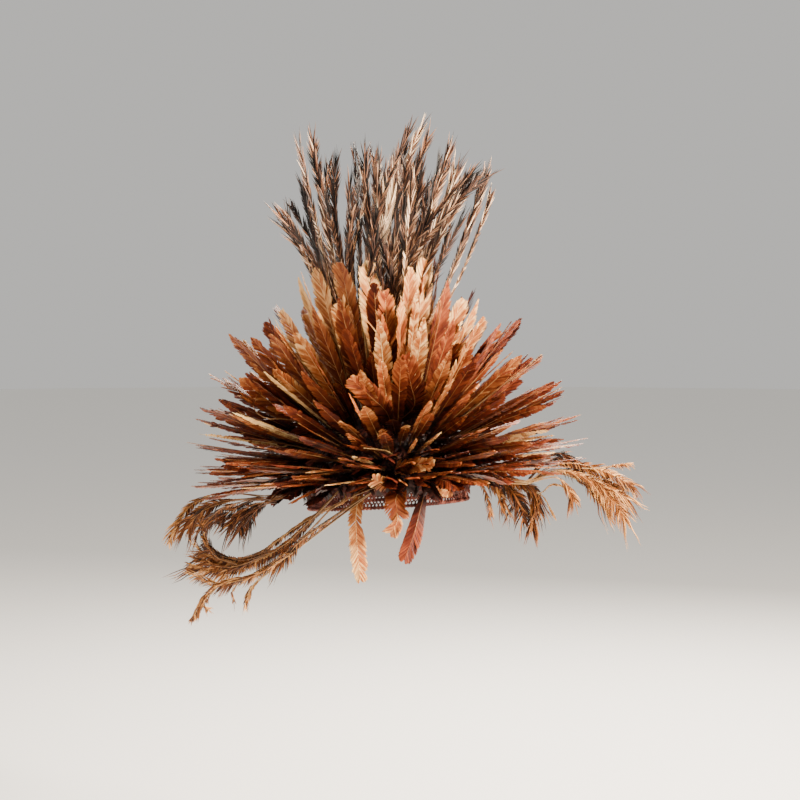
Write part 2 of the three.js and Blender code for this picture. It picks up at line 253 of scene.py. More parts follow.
def new_tree(name, inputs, output):
    """A tree for a modifier, and its inputs: the name, kind and default of each. It puts out one geometry."""
    tree = bpy.data.node_groups.new(name, "GeometryNodeTree")
    tree.is_modifier = True
    for key, kind, default in inputs:
        socket = tree.interface.new_socket(key, in_out="INPUT", socket_type=f"NodeSocket{kind}")
        if default is not None:
            socket.default_value = default
    tree.interface.new_socket(output, in_out="OUTPUT", socket_type="NodeSocketGeometry")
    return tree, tree.nodes.new("NodeGroupInput").outputs


# %% The barbs down one side
LEAST_ANGLE = 0.05  # radians between barb and shaft, so that no barb becomes endless
LEAST_REACH = 0.0006  # metres, below which the shaft is bare


def barb_row(tree, given, named, points, clump, side):
    """Blades at points of the shaft, on the side that is 1 or -1."""
    tangent = points.outputs["Tangent"]
    sideways = add(tree, "ShaderNodeVectorMath", {0: tangent, 1: named["facing"]}, operation="CROSS_PRODUCT")
    sideways = add(tree, "ShaderNodeVectorMath", {0: sideways}, operation="NORMALIZE")
    facing = add(tree, "ShaderNodeVectorMath", {0: sideways, 1: tangent}, operation="CROSS_PRODUCT")

    # A clump shares three random numbers, and each blade has four of its own.
    key = add(tree, "ShaderNodeCombineXYZ", {0: named["feather"], 1: clump, 2: 7.3 * side})
    shared = add(tree, "ShaderNodeTexWhiteNoise", {"Vector": key}, noise_dimensions="3D")
    shared = add(tree, "ShaderNodeSeparateXYZ", {0: shared.outputs["Color"]}).outputs
    own = [
        add(tree, "FunctionNodeRandomValue", {2: -1.0, 3: 1.0, "Seed": 10 * use + side + 3}).outputs[1]
        for use in range(4)
    ]

    # The heading comes from the angle to the shaft and a lift out of the vane's plane.
    turn = add(tree, "ShaderNodeMath", {0: shared[0], 1: 0.5}, operation="SUBTRACT")
    turn = add(tree, "ShaderNodeMath", {
        0: turn, 1: given["Split"], 2: named["angle"],
    }, operation="MULTIPLY_ADD")
    turn = add(tree, "ShaderNodeMath", {0: own[0], 1: 0.035, 2: turn}, operation="MULTIPLY_ADD")
    turn = add(tree, "ShaderNodeMath", {0: turn, 1: LEAST_ANGLE}, operation="MAXIMUM")
    lift = add(tree, "ShaderNodeMath", {0: shared[1], 1: 0.5}, operation="SUBTRACT")
    lift = add(tree, "ShaderNodeMath", {0: own[1], 1: 0.25, 2: lift}, operation="MULTIPLY_ADD")
    lift = add(tree, "ShaderNodeMath", {0: lift, 1: given["Tilt"]}, operation="MULTIPLY")
    out = add(tree, "ShaderNodeMath", {0: turn}, operation="SINE")
    on = add(tree, "ShaderNodeMath", {0: turn}, operation="COSINE")
    out_side = add(tree, "ShaderNodeMath", {0: out, 1: float(side)}, operation="MULTIPLY")
    heading = add(tree, "ShaderNodeVectorMath", {0: sideways, 3: out_side}, operation="SCALE")
    for way, amount in ((tangent, on), (facing, lift)):
        part = add(tree, "ShaderNodeVectorMath", {0: way, 3: amount}, operation="SCALE")
        heading = add(tree, "ShaderNodeVectorMath", {0: heading, 1: part}, operation="ADD")
    turned = add(tree, "FunctionNodeAxesToRotation", {
        "Primary Axis": heading, "Secondary Axis": facing,
    }, primary_axis="X", secondary_axis="Z")

    # A blade is as long as the outline lets it reach, and shorter where the vane is ragged.
    short = add(tree, "ShaderNodeMath", {0: shared[2], 1: shared[2]}, operation="MULTIPLY")
    short = add(tree, "ShaderNodeMath", {0: own[2], 1: 0.35, 2: short}, operation="MULTIPLY_ADD")
    short = add(tree, "ShaderNodeMath", {0: short, 1: given["Ragged"]}, operation="MULTIPLY")
    share = add(tree, "ShaderNodeMath", {0: 1.0, 1: short}, operation="SUBTRACT")
    length = named["reach"]
    for operation, other in (("DIVIDE", out), ("MINIMUM", given["Longest barb"]), ("MULTIPLY", share)):
        length = add(tree, "ShaderNodeMath", {0: length, 1: other}, operation=operation)
    size = add(tree, "ShaderNodeCombineXYZ", {0: length, 1: given["Barb width"], 2: given["Barb width"]})

    # Some are missing, and none grow where the shaft is bare.
    there = add(tree, "ShaderNodeMath", {0: named["reach"], 1: LEAST_REACH}, operation="GREATER_THAN")
    kept = own[3]
    for operation, other in (
        ("ADD", 1.0), ("MULTIPLY", 0.5), ("GREATER_THAN", given["Missing"]), ("MULTIPLY", there),
    ):
        kept = add(tree, "ShaderNodeMath", {0: kept, 1: other}, operation=operation)

    # The bending and the colours read these numbers later.
    shade = add(tree, "ShaderNodeMath", {0: shared[1], 1: 0.7, 2: -0.35}, operation="MULTIPLY_ADD")
    shade = add(tree, "ShaderNodeMath", {0: own[0], 1: 0.65, 2: shade}, operation="MULTIPLY_ADD")
    row = points.outputs["Points"]
    stored = [("long", "FLOAT", length), ("run", "FLOAT_VECTOR", tangent), ("shade", "FLOAT", shade)]
    for name, kind, value in stored:
        row = add(tree, "GeometryNodeStoreNamedAttribute", {
            "Geometry": row, "Name": name, "Value": value,
        }, data_type=kind, domain="POINT")
    blade = add(tree, "GeometryNodeObjectInfo", {"Object": given["Barb"]})
    return add(tree, "GeometryNodeInstanceOnPoints", {
        "Points": row, "Selection": kept, "Instance": blade.outputs["Geometry"],
        "Rotation": turned, "Scale": size,
    })


# %% The bend of the barbs
WAVE_SCALE = 55.0  # of the noise that waves the ends


def barb_bend(tree, given, named):
    """How far each point of a barb moves, which is more the further it is from its shaft."""
    bend = add(tree, "ShaderNodeMath", {0: named["across"], 1: 2.0}, operation="POWER")
    bend = add(tree, "ShaderNodeMath", {0: bend, 1: named["long"]}, operation="MULTIPLY")
    sweep = add(tree, "ShaderNodeVectorMath", {0: named["run"], 3: given["Sweep"]}, operation="SCALE")
    curl = add(tree, "ShaderNodeVectorMath", {0: named["facing"], 3: given["Curl"]}, operation="SCALE")
    fall = add(tree, "ShaderNodeMath", {0: given["Droop"], 1: -1.0}, operation="MULTIPLY")
    fall = add(tree, "ShaderNodeCombineXYZ", {2: fall})
    wave = add(tree, "ShaderNodeTexNoise", {"Scale": WAVE_SCALE, "Detail": 1.0}).outputs["Color"]
    wave = add(tree, "ShaderNodeVectorMath", {0: wave, 1: (0.5, 0.5, 0.5)}, operation="SUBTRACT")
    wave = add(tree, "ShaderNodeVectorMath", {0: wave, 3: given["Wave"]}, operation="SCALE")
    move = sweep
    for part in (curl, fall, wave):
        move = add(tree, "ShaderNodeVectorMath", {0: move, 1: part}, operation="ADD")
    return add(tree, "ShaderNodeVectorMath", {0: move, 3: bend}, operation="SCALE")


# %% Build the feather tree
WEAR_SCALE = 60.0  # of the noise that makes clumps uneven


def feather_tree():
    tree, given = new_tree("feathers", [
        ("Shafts", "Geometry", None), ("Barb", "Object", None), ("Barb spacing", "Float", 0.002),
        ("Barb width", "Float", 0.0026), ("Longest barb", "Float", 0.02), ("Clumps", "Float", 9.0),
        ("Split", "Float", 0.2), ("Tilt", "Float", 0.2), ("Missing", "Float", 0.05), ("Ragged", "Float", 0.2),
        ("Sweep", "Float", 0.2), ("Curl", "Float", 0.1), ("Droop", "Float", 0.0), ("Wave", "Float", 0.05),
        ("Shaft sides", "Int", 4), ("Vane finish", "Material", None), ("Shaft finish", "Material", None),
    ], "Feathers")
    named = {
        name: add(tree, "GeometryNodeInputNamedAttribute", {"Name": name}, data_type=kind)
        for kind, names in [
            ("FLOAT_VECTOR", ["facing", "run"]),
            ("FLOAT", ["reach", "angle", "thick", "along", "feather", "across", "long"]),
        ]
        for name in names
    }
    shafts = add(tree, "GeometryNodeMeshToCurve", {"Mesh": given["Shafts"]})

    # The shaft is a tube that thins to its tip.
    section = add(tree, "GeometryNodeCurvePrimitiveCircle", {
        "Resolution": given["Shaft sides"], "Radius": 1.0,
    })
    tube = add(tree, "GeometryNodeCurveToMesh", {
        "Curve": shafts, "Profile Curve": section, "Scale": named["thick"], "Fill Caps": True,
    })
    tube = add(tree, "GeometryNodeSetMaterial", {"Geometry": tube, "Material": given["Shaft finish"]})

    # The barbs stand at points along the shaft, a row for each side, in clumps of uneven size.
    points = add(tree, "GeometryNodeCurveToPoints", {
        "Curve": shafts, "Length": given["Barb spacing"],
    }, mode="LENGTH")
    clump = add(tree, "ShaderNodeMath", {0: named["along"], 1: given["Clumps"]}, operation="MULTIPLY")
    worn = add(tree, "ShaderNodeTexNoise", {"Scale": WEAR_SCALE, "Detail": 1.0})
    clump = add(tree, "ShaderNodeMath", {0: worn, 1: 3.0, 2: clump}, operation="MULTIPLY_ADD")
    clump = add(tree, "ShaderNodeMath", {0: clump}, operation="FLOOR")
    vanes = add(tree, "GeometryNodeJoinGeometry")
    for side in (1, -1):
        row = barb_row(tree, given, named, points, clump, side)
        tree.links.new(row.outputs[0], vanes.inputs[0])
    vanes = add(tree, "GeometryNodeRealizeInstances", {"Geometry": vanes})
    move = barb_bend(tree, given, named)
    vanes = add(tree, "GeometryNodeSetPosition", {"Geometry": vanes, "Offset": move})
    vanes = add(tree, "GeometryNodeSetMaterial", {"Geometry": vanes, "Material": given["Vane finish"]})

    both = add(tree, "GeometryNodeJoinGeometry")
    for part in (vanes, tube):
        tree.links.new(part.outputs[0], both.inputs[0])
    add(tree, "NodeGroupOutput", {0: both})
    return tree


feathers = feather_tree()
print("nodes in the feather tree:", len(feathers.nodes))


# %% [markdown]
# ## Drawing the shafts
# A shaft is a short chain of points. A body feather leaves its root at a rise and bends a little to its tip,
# as a quadratic curve does. A soft plume follows marks read off the photograph, so its curve runs through
# them. Both are sampled here, and the vane's facing is worked out at each point from the curve's direction.

# %% Curves for shafts


def bent_curve(root, pull, tip, count):
    """Points and directions along the curve that starts at root, ends at tip and leans towards pull."""
    shares = [i / (count - 1) for i in range(count)]
    points = [root * (1 - t) ** 2 + pull * 2 * t * (1 - t) + tip * t ** 2 for t in shares]
    return points, [((pull - root) * (1 - t) + (tip - pull) * t).normalized() for t in shares]


def marked_curve(marks, count):
    """Points and directions along a smooth curve through marks."""
    ends = [marks[0] * 2 - marks[1], *marks, marks[-1] * 2 - marks[-2]]
    points = []
    for i in range(count):
        at = i / (count - 1) * (len(marks) - 1)
        k = min(int(at), len(marks) - 2)
        t = at - k
        a, b, c, d = ends[k:k + 4]
        points.append(
            b + ((c - a) * t + (a * 2 - b * 5 + c * 4 - d) * t ** 2 + (b * 3 - a - c * 3 + d) * t ** 3) * 0.5
        )
    runs = [points[min(i + 1, count - 1)] - points[max(i - 1, 0)] for i in range(count)]
    return points, [run.normalized() for run in runs]


# %% [markdown]
# ## A feather as a row of numbers
# The outline of a vane is how far its barbs reach at each place along the shaft. A body feather is bare at
# the quill, widest past its middle, and blunt or pointed. A covert, the short feather at the root, is broad
# all along. A plume stays bare and thin for longer, and its barbs are longest near the top. The colour
# number, called tone, runs from 0 for dark brown to 1 for cream.

# %% The outlines and the feather
VANE_OUTLINE = [
    (0.1, 0), (0.13, 0.3), (0.25, 0.6), (0.45, 0.84), (0.68, 1), (0.84, 0.8), (0.94, 0.42), (1, 0.1),
]
POINTED_OUTLINE = [
    (0.1, 0), (0.13, 0.3), (0.25, 0.66), (0.45, 0.95), (0.58, 1), (0.74, 0.68), (0.88, 0.32), (1, 0.05),
]
COVERT_OUTLINE = [(0.04, 0.3), (0.2, 0.75), (0.5, 1.0), (0.8, 0.85), (0.94, 0.5), (1, 0.2)]
PLUME_OUTLINE = [(0.15, 0.0), (0.3, 0.14), (0.42, 0.3), (0.6, 0.6), (0.8, 0.95), (0.93, 1), (1, 0.8)]
counted = [0]  # feathers so far, which gives each one scattered numbers of its own


def feather_row(curve, width, tone, outline, roll=0.0, sideways=None, angles=(56, 30), thick=0.8,
                toning=0.15):
    """A feather on a curve. width: its half width in mm. angles: of the barbs to the shaft, at base and tip.
    toning: how much paler its tip is than its base."""
    points, runs = curve
    counted[0] += 1
    row = {"points": points, "facing": [], "reach": [], "angle": [], "thick": [], "along": [], "tone": []}
    wander = 0.6 * stray(counted[0], 7)  # turns the vane by up to 8 degrees from base to tip
    for i, run in enumerate(runs):
        t = i / (len(points) - 1)
        spread = sideways - run * sideways.dot(run) if sideways else Vector((0, 0, 1)).cross(run)
        spread = Quaternion(run, math.radians(roll + 14 * wander * t)) @ spread.normalized()
        row["facing"].append(run.cross(spread).normalized())
        share = np.interp(t, *zip(*outline), left=0.0)
        row["reach"].append(float(share) * width * MM)
        row["angle"].append(math.radians(angles[0] + (angles[1] - angles[0]) * t ** 1.3))
        row["thick"].append(thick * MM * (1 - 0.8 * t))
        row["along"].append(t)
        row["tone"].append(min(max(tone + toning * (t - 0.5) + 0.05 * stray(counted[0] * 31 + i, 8), 0), 1))
    row["feather"] = [float(counted[0])] * len(points)
    return row


# %% [markdown]
# ## From rows to a finished piece
# The rows become one mesh of edges with the numbers stored on its points, and the tree grows on it. The
# modifier's inputs are set by their identifiers before Blender first evaluates it. Then the result is taken
# as a plain mesh, which is what the export and the checks read.

# %% Grow a piece


def shaft_object(name, rows):
    points, edges = [], []
    for row in rows:
        first = len(points)
        points += row["points"]
        edges += [(first + i, first + i + 1) for i in range(len(row["points"]) - 1)]
    keys = ("reach", "angle", "thick", "along", "tone", "feather", "facing")
    numbers = {key: [x for row in rows for x in row[key]] for key in keys}
    return in_scene(name, new_mesh(name, points, edges, **numbers))


def evaluated(made, tree, inputs):
    """Runs a node tree on an object, which it uses up, and returns the result as a plain mesh."""
    modifier = made.modifiers.new("made", "NODES")
    modifier.node_group = tree
    identifiers = {s.name: s.identifier for s in tree.interface.items_tree if s.in_out == "INPUT"}
    for key, value in inputs.items():
        modifier[identifiers[key]] = value
    bpy.context.view_layer.update()
    graph = bpy.context.evaluated_depsgraph_get()
    result = bpy.data.meshes.new_from_object(made.evaluated_get(graph), depsgraph=graph)
    made.modifiers.remove(modifier)
    bpy.data.objects.remove(made)
    return result


def grown(name, rows, **inputs):
    """A mesh of feathers on the shafts in rows."""
    return evaluated(shaft_object(name, rows), feathers, inputs)


totals = []


def as_piece(name, meshes, node):
    """Joins meshes into one piece that stands for a solid."""
    parts = [in_scene(name, mesh) for mesh in meshes]
    if len(parts) > 1:
        with bpy.context.temp_override(active_object=parts[0], selected_editable_objects=parts):
            bpy.ops.object.join()
    piece = parts[0]
    piece.name = name
    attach(piece, "root")
    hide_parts(node)
    triangles = sum(len(p.vertices) - 2 for p in piece.data.polygons)
    totals.append(triangles)
    print(f"{name}: {triangles} triangles")


# %% [markdown]
# ## Feather finishes
# A feather is keratin, the stuff of nails: its gloss is soft on the vane and clearer on the shaft. The brown
# varies from feather to feather and deepens towards the quill, partly as the feather's own colour and partly
# as painted shade where the feathers crowd round the cap. It fades at the barb ends, partly from wear and
# partly as a painted highlight along the vanes' edges. The tone number picks the colour from a ramp of
# browns, noise the size of a clump of barbs mottles it, and finer noise, near the barbs' own 0.4 mm, gives
# the surface its grain.

# %% The material of a feather
FEATHER_IOR = 1.55


def empty_material(name):
    material = bpy.data.materials.new(name)
    material.use_nodes = True
    material.node_tree.nodes.clear()
    return material, material.node_tree


def feather_finish(name, colours, base_dark_and_painted_shade, pale_ends_and_painted_highlight, rough, barb_spread, shine):
    """colours: the ramp from tone 0 to 1. base_dark_and_painted_shade: how much darker the quill end is,
    partly its own colour and partly painted shade. pale_ends_and_painted_highlight: how much paler the barb
    ends are, partly from wear and partly as a painted highlight. barb_spread: how far neighbouring barbs
    differ. shine: 0.5 is smooth, and barbules break it up to less."""
    material, tree = empty_material(name)
    tone, along, across, shade = (
        add(tree, "ShaderNodeAttribute", attribute_name=key).outputs["Fac"]
        for key in ("tone", "along", "across", "shade")
    )
    place = add(tree, "ShaderNodeTexCoord").outputs["Object"]
    mottle = add(tree, "ShaderNodeTexNoise", {"Vector": place, "Scale": 160.0, "Detail": 3.0})
    mottle = add(tree, "ShaderNodeMath", {0: mottle, 1: 0.5}, operation="SUBTRACT")
    mixed = add(tree, "ShaderNodeMath", {0: mottle, 1: 0.3, 2: tone}, operation="MULTIPLY_ADD")
    mixed = add(tree, "ShaderNodeMath", {0: shade, 1: barb_spread, 2: mixed}, operation="MULTIPLY_ADD")
    # Barb ends are paler: partly wear, and partly a painted highlight along the vanes' edges.
    worn = add(tree, "ShaderNodeMath", {0: across, 1: 4.0}, operation="POWER")
    mixed = add(tree, "ShaderNodeMath", {0: worn, 1: pale_ends_and_painted_highlight, 2: mixed}, operation="MULTIPLY_ADD")
    ramp = add(tree, "ShaderNodeValToRGB", {"Fac": mixed})
    ramp.color_ramp.elements.remove(ramp.color_ramp.elements[0])
    for i, colour in enumerate(colours):
        at = i / (len(colours) - 1)
        element = ramp.color_ramp.elements[0] if i == 0 else ramp.color_ramp.elements.new(at)
        element.position = at
        element.color = linear(colour)
    # Darker towards the quill: partly the feather's own colour, and partly painted shade where the feathers
    # crowd round the cap.
    light = add(tree, "ShaderNodeMapRange", {
        "Value": along, "From Min": 0.05, "From Max": 0.82, "To Min": 1.0 - base_dark_and_painted_shade, "To Max": 1.1,
    })
    light = add(tree, "ShaderNodeMath", {0: shade, 1: barb_spread, 2: light}, operation="MULTIPLY_ADD")
    colour = add(tree, "ShaderNodeVectorMath", {0: ramp.outputs["Color"], 3: light}, operation="SCALE")
    grain = add(tree, "ShaderNodeTexNoise", {"Vector": place, "Scale": 2500.0, "Detail": 2.0})
    bump = add(tree, "ShaderNodeBump", {"Strength": 0.35, "Distance": 0.0002, "Height": grain})
    gloss = add(tree, "ShaderNodeMapRange", {
        "Value": mottle, "From Min": -0.3, "From Max": 0.3, "To Min": rough - 0.1, "To Max": rough + 0.12,
    })
    shader = add(tree, "ShaderNodeBsdfPrincipled", {
        "Base Color": colour, "Roughness": gloss, "IOR": FEATHER_IOR, "Specular IOR Level": shine,
        "Normal": bump,
    })
    add(tree, "ShaderNodeOutputMaterial", {"Surface": shader})
    return material


# %% The four finishes
# Contour feather vane, dry: rust browns with a low gloss. Its barb ends are paler, partly from wear and
# partly as a painted highlight, and its quill end is darker, partly as painted shade.
vane_finish = feather_finish(
    "keratin_vane_rust", ["#0c0302", "#280c07", "#501b0e", "#783518", "#a56230", "#dfb578"],
    base_dark_and_painted_shade=0.85, pale_ends_and_painted_highlight=0.16, rough=0.48, barb_spread=0.15, shine=0.2,
)
# Long plume barbs: dark brown and matt, with tan and cream ones among them. Neighbouring barbs differ
# strongly, partly at random and partly as painted streaks of highlight.
plume_finish = feather_finish(
    "keratin_plume_dark", ["#0c0705", "#20130e", "#3e251b", "#66432f", "#9a7256", "#e2c8a8"],
    base_dark_and_painted_shade=0.0, pale_ends_and_painted_highlight=0.2, rough=0.44, barb_spread=0.6, shine=0.35,
)
# Down of the drooping plumes: loose and matt, golden brown with darker barbs in it.
down_finish = feather_finish(
    "keratin_down_tan", ["#0e0704", "#24130a", "#42200e", "#653616", "#875226", "#b98850"],
    base_dark_and_painted_shade=0.3, pale_ends_and_painted_highlight=0.25, rough=0.5, barb_spread=0.4, shine=0.2,
)
# Bare shaft: smooth and paler than the vane, with a clear gloss.
shaft_finish = feather_finish(
    "keratin_shaft_pale", ["#4a2613", "#6f4222", "#946236", "#b68752", "#cca772", "#dfc896"],
    base_dark_and_painted_shade=0.6, pale_ends_and_painted_highlight=0.0, rough=0.35, barb_spread=0.0, shine=0.35,
)

# %% [markdown]
# ## The rings of body feathers
# Each ring is tied along its own cord, lowest ring almost level and the highest nearly upright, so the whole
# opens like a fan. The solid model has the main feathers. The real rings are more than twice as full, so
# more unruly feathers are set between them, from the same cords, and one in ten is narrow and faded. Short
# ones lie over the cord, dark ones hang from it and hide the net, and nine feathers have slipped out of line.

# %% Ring tables


def table(fields, rows):
    """Rows of values as dictionaries with the same fields."""
    return [dict(zip(fields.split(), row)) for row in rows]


# Lengths are in mm and angles in degrees, as in the solid model. stray: how far a feather's rise strays.
# roll: how far it may turn on its shaft.
RINGS = table("height count length width rise stray bend roll", [
    (29, 29, 118, 7.0, 3, 1.2, -2, 12),
    (38, 28, 121, 7.0, 7, 1.8, -3, 12),
    (48, 28, 126, 7.5, 13, 2.2, -2, 16),
    (59, 26, 128, 8.0, 23, 3.0, -1, 28),
    (70, 24, 130, 8.5, 35, 3.5, 0, 36),
    (80, 22, 134, 9.0, 48, 3.5, 1, 36),
    (89, 18, 136, 10.0, 62, 3.0, 2, 30),
    (96, 14, 147, 11.5, 75, 2.0, 1, 24),
])
# For each ring: its colour, how far its feathers' colours spread, their width against the solid's, how many
# more stand between the main ones, how many short ones lie over its cord, how many dark ones cover the net,
# how far those hang, how much lower the short ones lie in degrees, and the step from barb to barb in mm.
# The tone rises from the lowest ring to the highest: partly the feathers' own colours, and partly painted
# shade that darkens the lower rings.
RING_LOOKS = table("tone spread wide more short cover hang fall barb", [
    (0.43, 0.18, 0.9, 50, 44, 54, 9, -20, 3.2),
    (0.43, 0.18, 0.9, 50, 40, 60, 9, -18, 3.2),
    (0.46, 0.20, 0.9, 46, 38, 58, 10, -16, 3.1),
    (0.50, 0.20, 0.95, 40, 36, 54, 11, -14, 2.8),
    (0.54, 0.20, 1.05, 32, 34, 48, 11, -12, 2.5),
    (0.57, 0.20, 1.15, 26, 28, 36, 10, -10, 2.2),
    (0.60, 0.20, 1.25, 20, 22, 30, 9, -8, 1.8),
    (0.64, 0.22, 1.2, 15, 14, 24, 7, -4, 1.7),
])
FADED_ABOVE = 0.78  # a feather's number from -1 to 1 has to be over this for it to be narrow and faded

# Feathers that have slipped out of line, as the photograph shows them: the ring they are tied in, the bearing
# of the tie, and marks along the shaft as across, near and up in mm.
CURLED_OUTLINE = [(0.7, 0.0), (0.78, 0.6), (0.9, 1.0), (1, 0.3)]
LOOSE = [
    {"ring": 3, "bearing": -140, "width": 3, "tone": 0.95, "marks": [(-3, 120, 66), (-22, 160, 72)]},
    {"ring": 2, "bearing": -150, "width": 9, "tone": 0.45,
     "marks": [(-8, 110, 50), (-25, 140, 54), (-42, 160, 62)]},
    {"ring": 2, "bearing": -130, "width": 9, "tone": 0.7, "roll": 70,
     "marks": [(8, 100, 48), (25, 125, 52), (42, 145, 56)]},
    {"ring": 1, "bearing": -142, "width": 9, "tone": 0.72, "roll": 50,
     "marks": [(0, 92, 30), (-6, 110, 34), (-13, 120, 38)]},
    {"ring": 1, "bearing": -165, "width": 5, "tone": 0.55, "marks": [(-60, 100, 30), (-94, 120, 15)]},
    {"ring": 1, "bearing": -148, "width": 4, "tone": 0.75, "marks": [(-28, 105, 24), (-49, 118, 12)]},
    {"ring": 4, "bearing": -176, "width": 9, "tone": 0.55, "outline": CURLED_OUTLINE,
     "marks": [(-90, 40, 88), (-122, 50, 92), (-134, 52, 104), (-126, 52, 117)]},
    {"ring": 5, "bearing": -140, "width": 13, "tone": 0.5, "faces camera": True,
     "marks": [(0, 95, 100), (-16, 122, 118), (-33, 146, 136)]},
    {"ring": 6, "bearing": -138, "width": 14, "tone": 0.46, "faces camera": True,
     "marks": [(26, 85, 106), (23, 108, 128), (19, 125, 150)]},
]


# %% How a feather leaves the cap
UP = TIP_TURN @ Vector((0, 0, 1))  # along the cap's own axis


def ring_tie(ring, bearing):
    """Where a feather is tied: in the middle of its ring's cord."""
    return on_cap(bearing, ring["height"], SEAT_GAP + CORD_RADIUS)


def cap_shaft(root, bearing, rise, bend, length, count=9):
    """A shaft that leaves the cap at a rise, tipped with it, and bends by some degrees to its tip."""
    pull = root + TIP_TURN @ direction(bearing, rise) * (length * MM / 2)
    tip = pull + TIP_TURN @ direction(bearing, rise + bend) * (length * MM / 2)
    return bent_curve(root, pull, tip, count)


# %% Feathers that stand in a ring


def standing_feathers(index, ring, looks):
    """The main feathers of the solid, evenly spaced, and then the unruly ones between them."""
    rows = []
    for i in range(ring["count"] + looks["more"]):
        if i < ring["count"]:
            item = 100 * (index + 1) + i
            bearing = 360 / ring["count"] * (i + 0.22 * stray(item, 1) + (index % 2) / 2)
            heading, bend = bearing, ring["bend"]
            rise = ring["rise"] + ring["stray"] * stray(item, 2)
            length = ring["length"] * (0.97 * (1 + 0.07 * stray(item, 3)))
            fullness, turn = 1.0, ring["roll"]
        else:
            item = 5000 + 300 * index + i
            bearing = 360 * (i - ring["count"] + 0.5 * stray(item, 1)) / looks["more"]
            heading, bend = bearing + 9 * stray(item, 5), ring["bend"] + 8 * stray(item, 6)
            rise = ring["rise"] + ((3 + 1.4 * ring["stray"]) * stray(item, 2) - 2)
            length = ring["length"] * (0.8 + 0.14 * stray(item, 3))
            fullness, turn = 0.9 + 0.25 * stray(item, 9), 1.6 * ring["roll"] + 16
        curve = cap_shaft(ring_tie(ring, bearing), heading, rise, bend, length)
        faded = stray(item, 12) > FADED_ABOVE
        rows.append(feather_row(
            curve,
            ring["width"] * (0.5 if faded else looks["wide"]) * fullness,
            looks["tone"] + looks["spread"] * stray(item, 10) + (0.32 if faded else 0),
            roll=turn * stray(item, 4),
            outline=POINTED_OUTLINE if stray(item, 11) > 0.2 and index > 1 else VANE_OUTLINE,
            sideways=UP.cross(curve[1][0]),
            angles=(48, 28),
        ))
    return rows


# %% Short feathers, and dark ones over the net


def short_feathers(index, ring, looks):
    """The coverts that lie over the cord."""
    rows = []
    for i in range(looks["short"]):
        item = 8000 + 300 * index + i
        bearing = 360 * (i + 0.6 * stray(item, 1)) / looks["short"]
        curve = cap_shaft(
            ring_tie(ring, bearing),
            bearing + 16 * stray(item, 5),
            ring["rise"] + looks["fall"] * (0.6 + 0.6 * stray(item, 2)),
            -6 + 14 * stray(item, 6),
            42 + 16 * stray(item, 3),
            count=6,
        )
        # Their darker tone is partly the feathers' own colour and partly painted shade where they lie at the
        # roots.
        rows.append(feather_row(
            curve, 9 + 2 * stray(item, 9), looks["tone"] - 0.28 + 0.22 * stray(item, 10),
            roll=35 * stray(item, 4), outline=COVERT_OUTLINE, sideways=UP.cross(curve[1][0]),
            angles=(58, 34), thick=0.6, toning=0.3,
        ))
    return rows


def cover_feathers(index, ring, looks):
    """The dark ones that hang from the cord over the net."""
    rows = []
    for i in range(looks["cover"]):
        item = 9000 + 100 * index + i
        bearing = 360 * (i + 0.4 * stray(item, 1)) / looks["cover"]
        root = on_cap(bearing, ring["height"], SEAT_GAP + 2 * CORD_RADIUS)
        end_height = ring["height"] - looks["hang"] * (1.2 + 0.15 * stray(item, 3))
        end = on_cap(bearing + 2 * stray(item, 2), end_height, 3)
        swell = on_cap(bearing, ring["height"] - looks["hang"] / 2, 6)
        # Their dark tone is partly the feathers' own colour and partly painted shade over the net beneath the
        # feathers.
        rows.append(feather_row(
            bent_curve(root, swell * 2 - (root + end) / 2, end, 5), 11, 0.16 + 0.1 * stray(item, 4),
            roll=20 * stray(item, 5), outline=COVERT_OUTLINE, sideways=UP.cross(direction(bearing, 0)),
            angles=(50, 30), thick=0.4, toning=0.1,
        ))
    return rows


# %% Feathers out of line


def slipped_feathers(index, ring):
    """Those of the table that are tied in this ring."""
    rows = []
    for row in [row for row in LOOSE if row["ring"] == index + 1]:
        marks = [ring_tie(ring, row["bearing"])] + [facing_point(*mark) for mark in row["marks"]]
        face = direction(NEAR_BEARING, 0) if row.get("faces camera") else UP
        rows.append(feather_row(
            marked_curve(marks, 12), row["width"], row["tone"], roll=row.get("roll", 0),
            outline=row.get("outline", COVERT_OUTLINE), sideways=face.cross(marks[-1] - marks[0]),
            thick=0.7, toning=0.3,
        ))
    return rows


# %% [markdown]
# The cord of each ring lies on the cap. Two strands are drawn as closed loops of edges that wind round each
# other along its path, and a small tree turns each into a tube. The quills start in the middle of the cord.

# %% Cords
STRAND_OUT = 0.55  # from the middle of the cord, as a share of its radius
STRAND_RADIUS = 0.62  # of each of the two strands, as a share of the cord's


def twisted_cord(name, path, radius, turn_mm, sides, material):
    """Two strands twisted round a closed path of points, as closed tubes."""
    count = len(path)
    total = sum((path[(i + 1) % count] - path[i]).length for i in range(count))
    turns = round(total / (turn_mm * MM))
    steps = max(6 * turns, count)
    points, edges = [], []
    for strand in (0, 1):
        first = len(points)
        for k in range(steps):
            at = k / steps * count
            i = int(at)
            a, b = path[i], path[(i + 1) % count]
            run = (b - path[i - 1]).normalized()
            level = run.cross(Vector((0, 0, 1))).normalized()
            twist = math.tau * turns * k / steps + math.pi * strand
            off = level * math.cos(twist) + level.cross(run) * math.sin(twist)
            points.append(a.lerp(b, at - i) + off * radius * STRAND_OUT)
            edges.append((first + k, first + (k + 1) % steps))
    return evaluated(in_scene(name, new_mesh(name, points, edges)), strands, {
        "Radius": radius * STRAND_RADIUS, "Sides": sides, "Cord finish": material,
    })


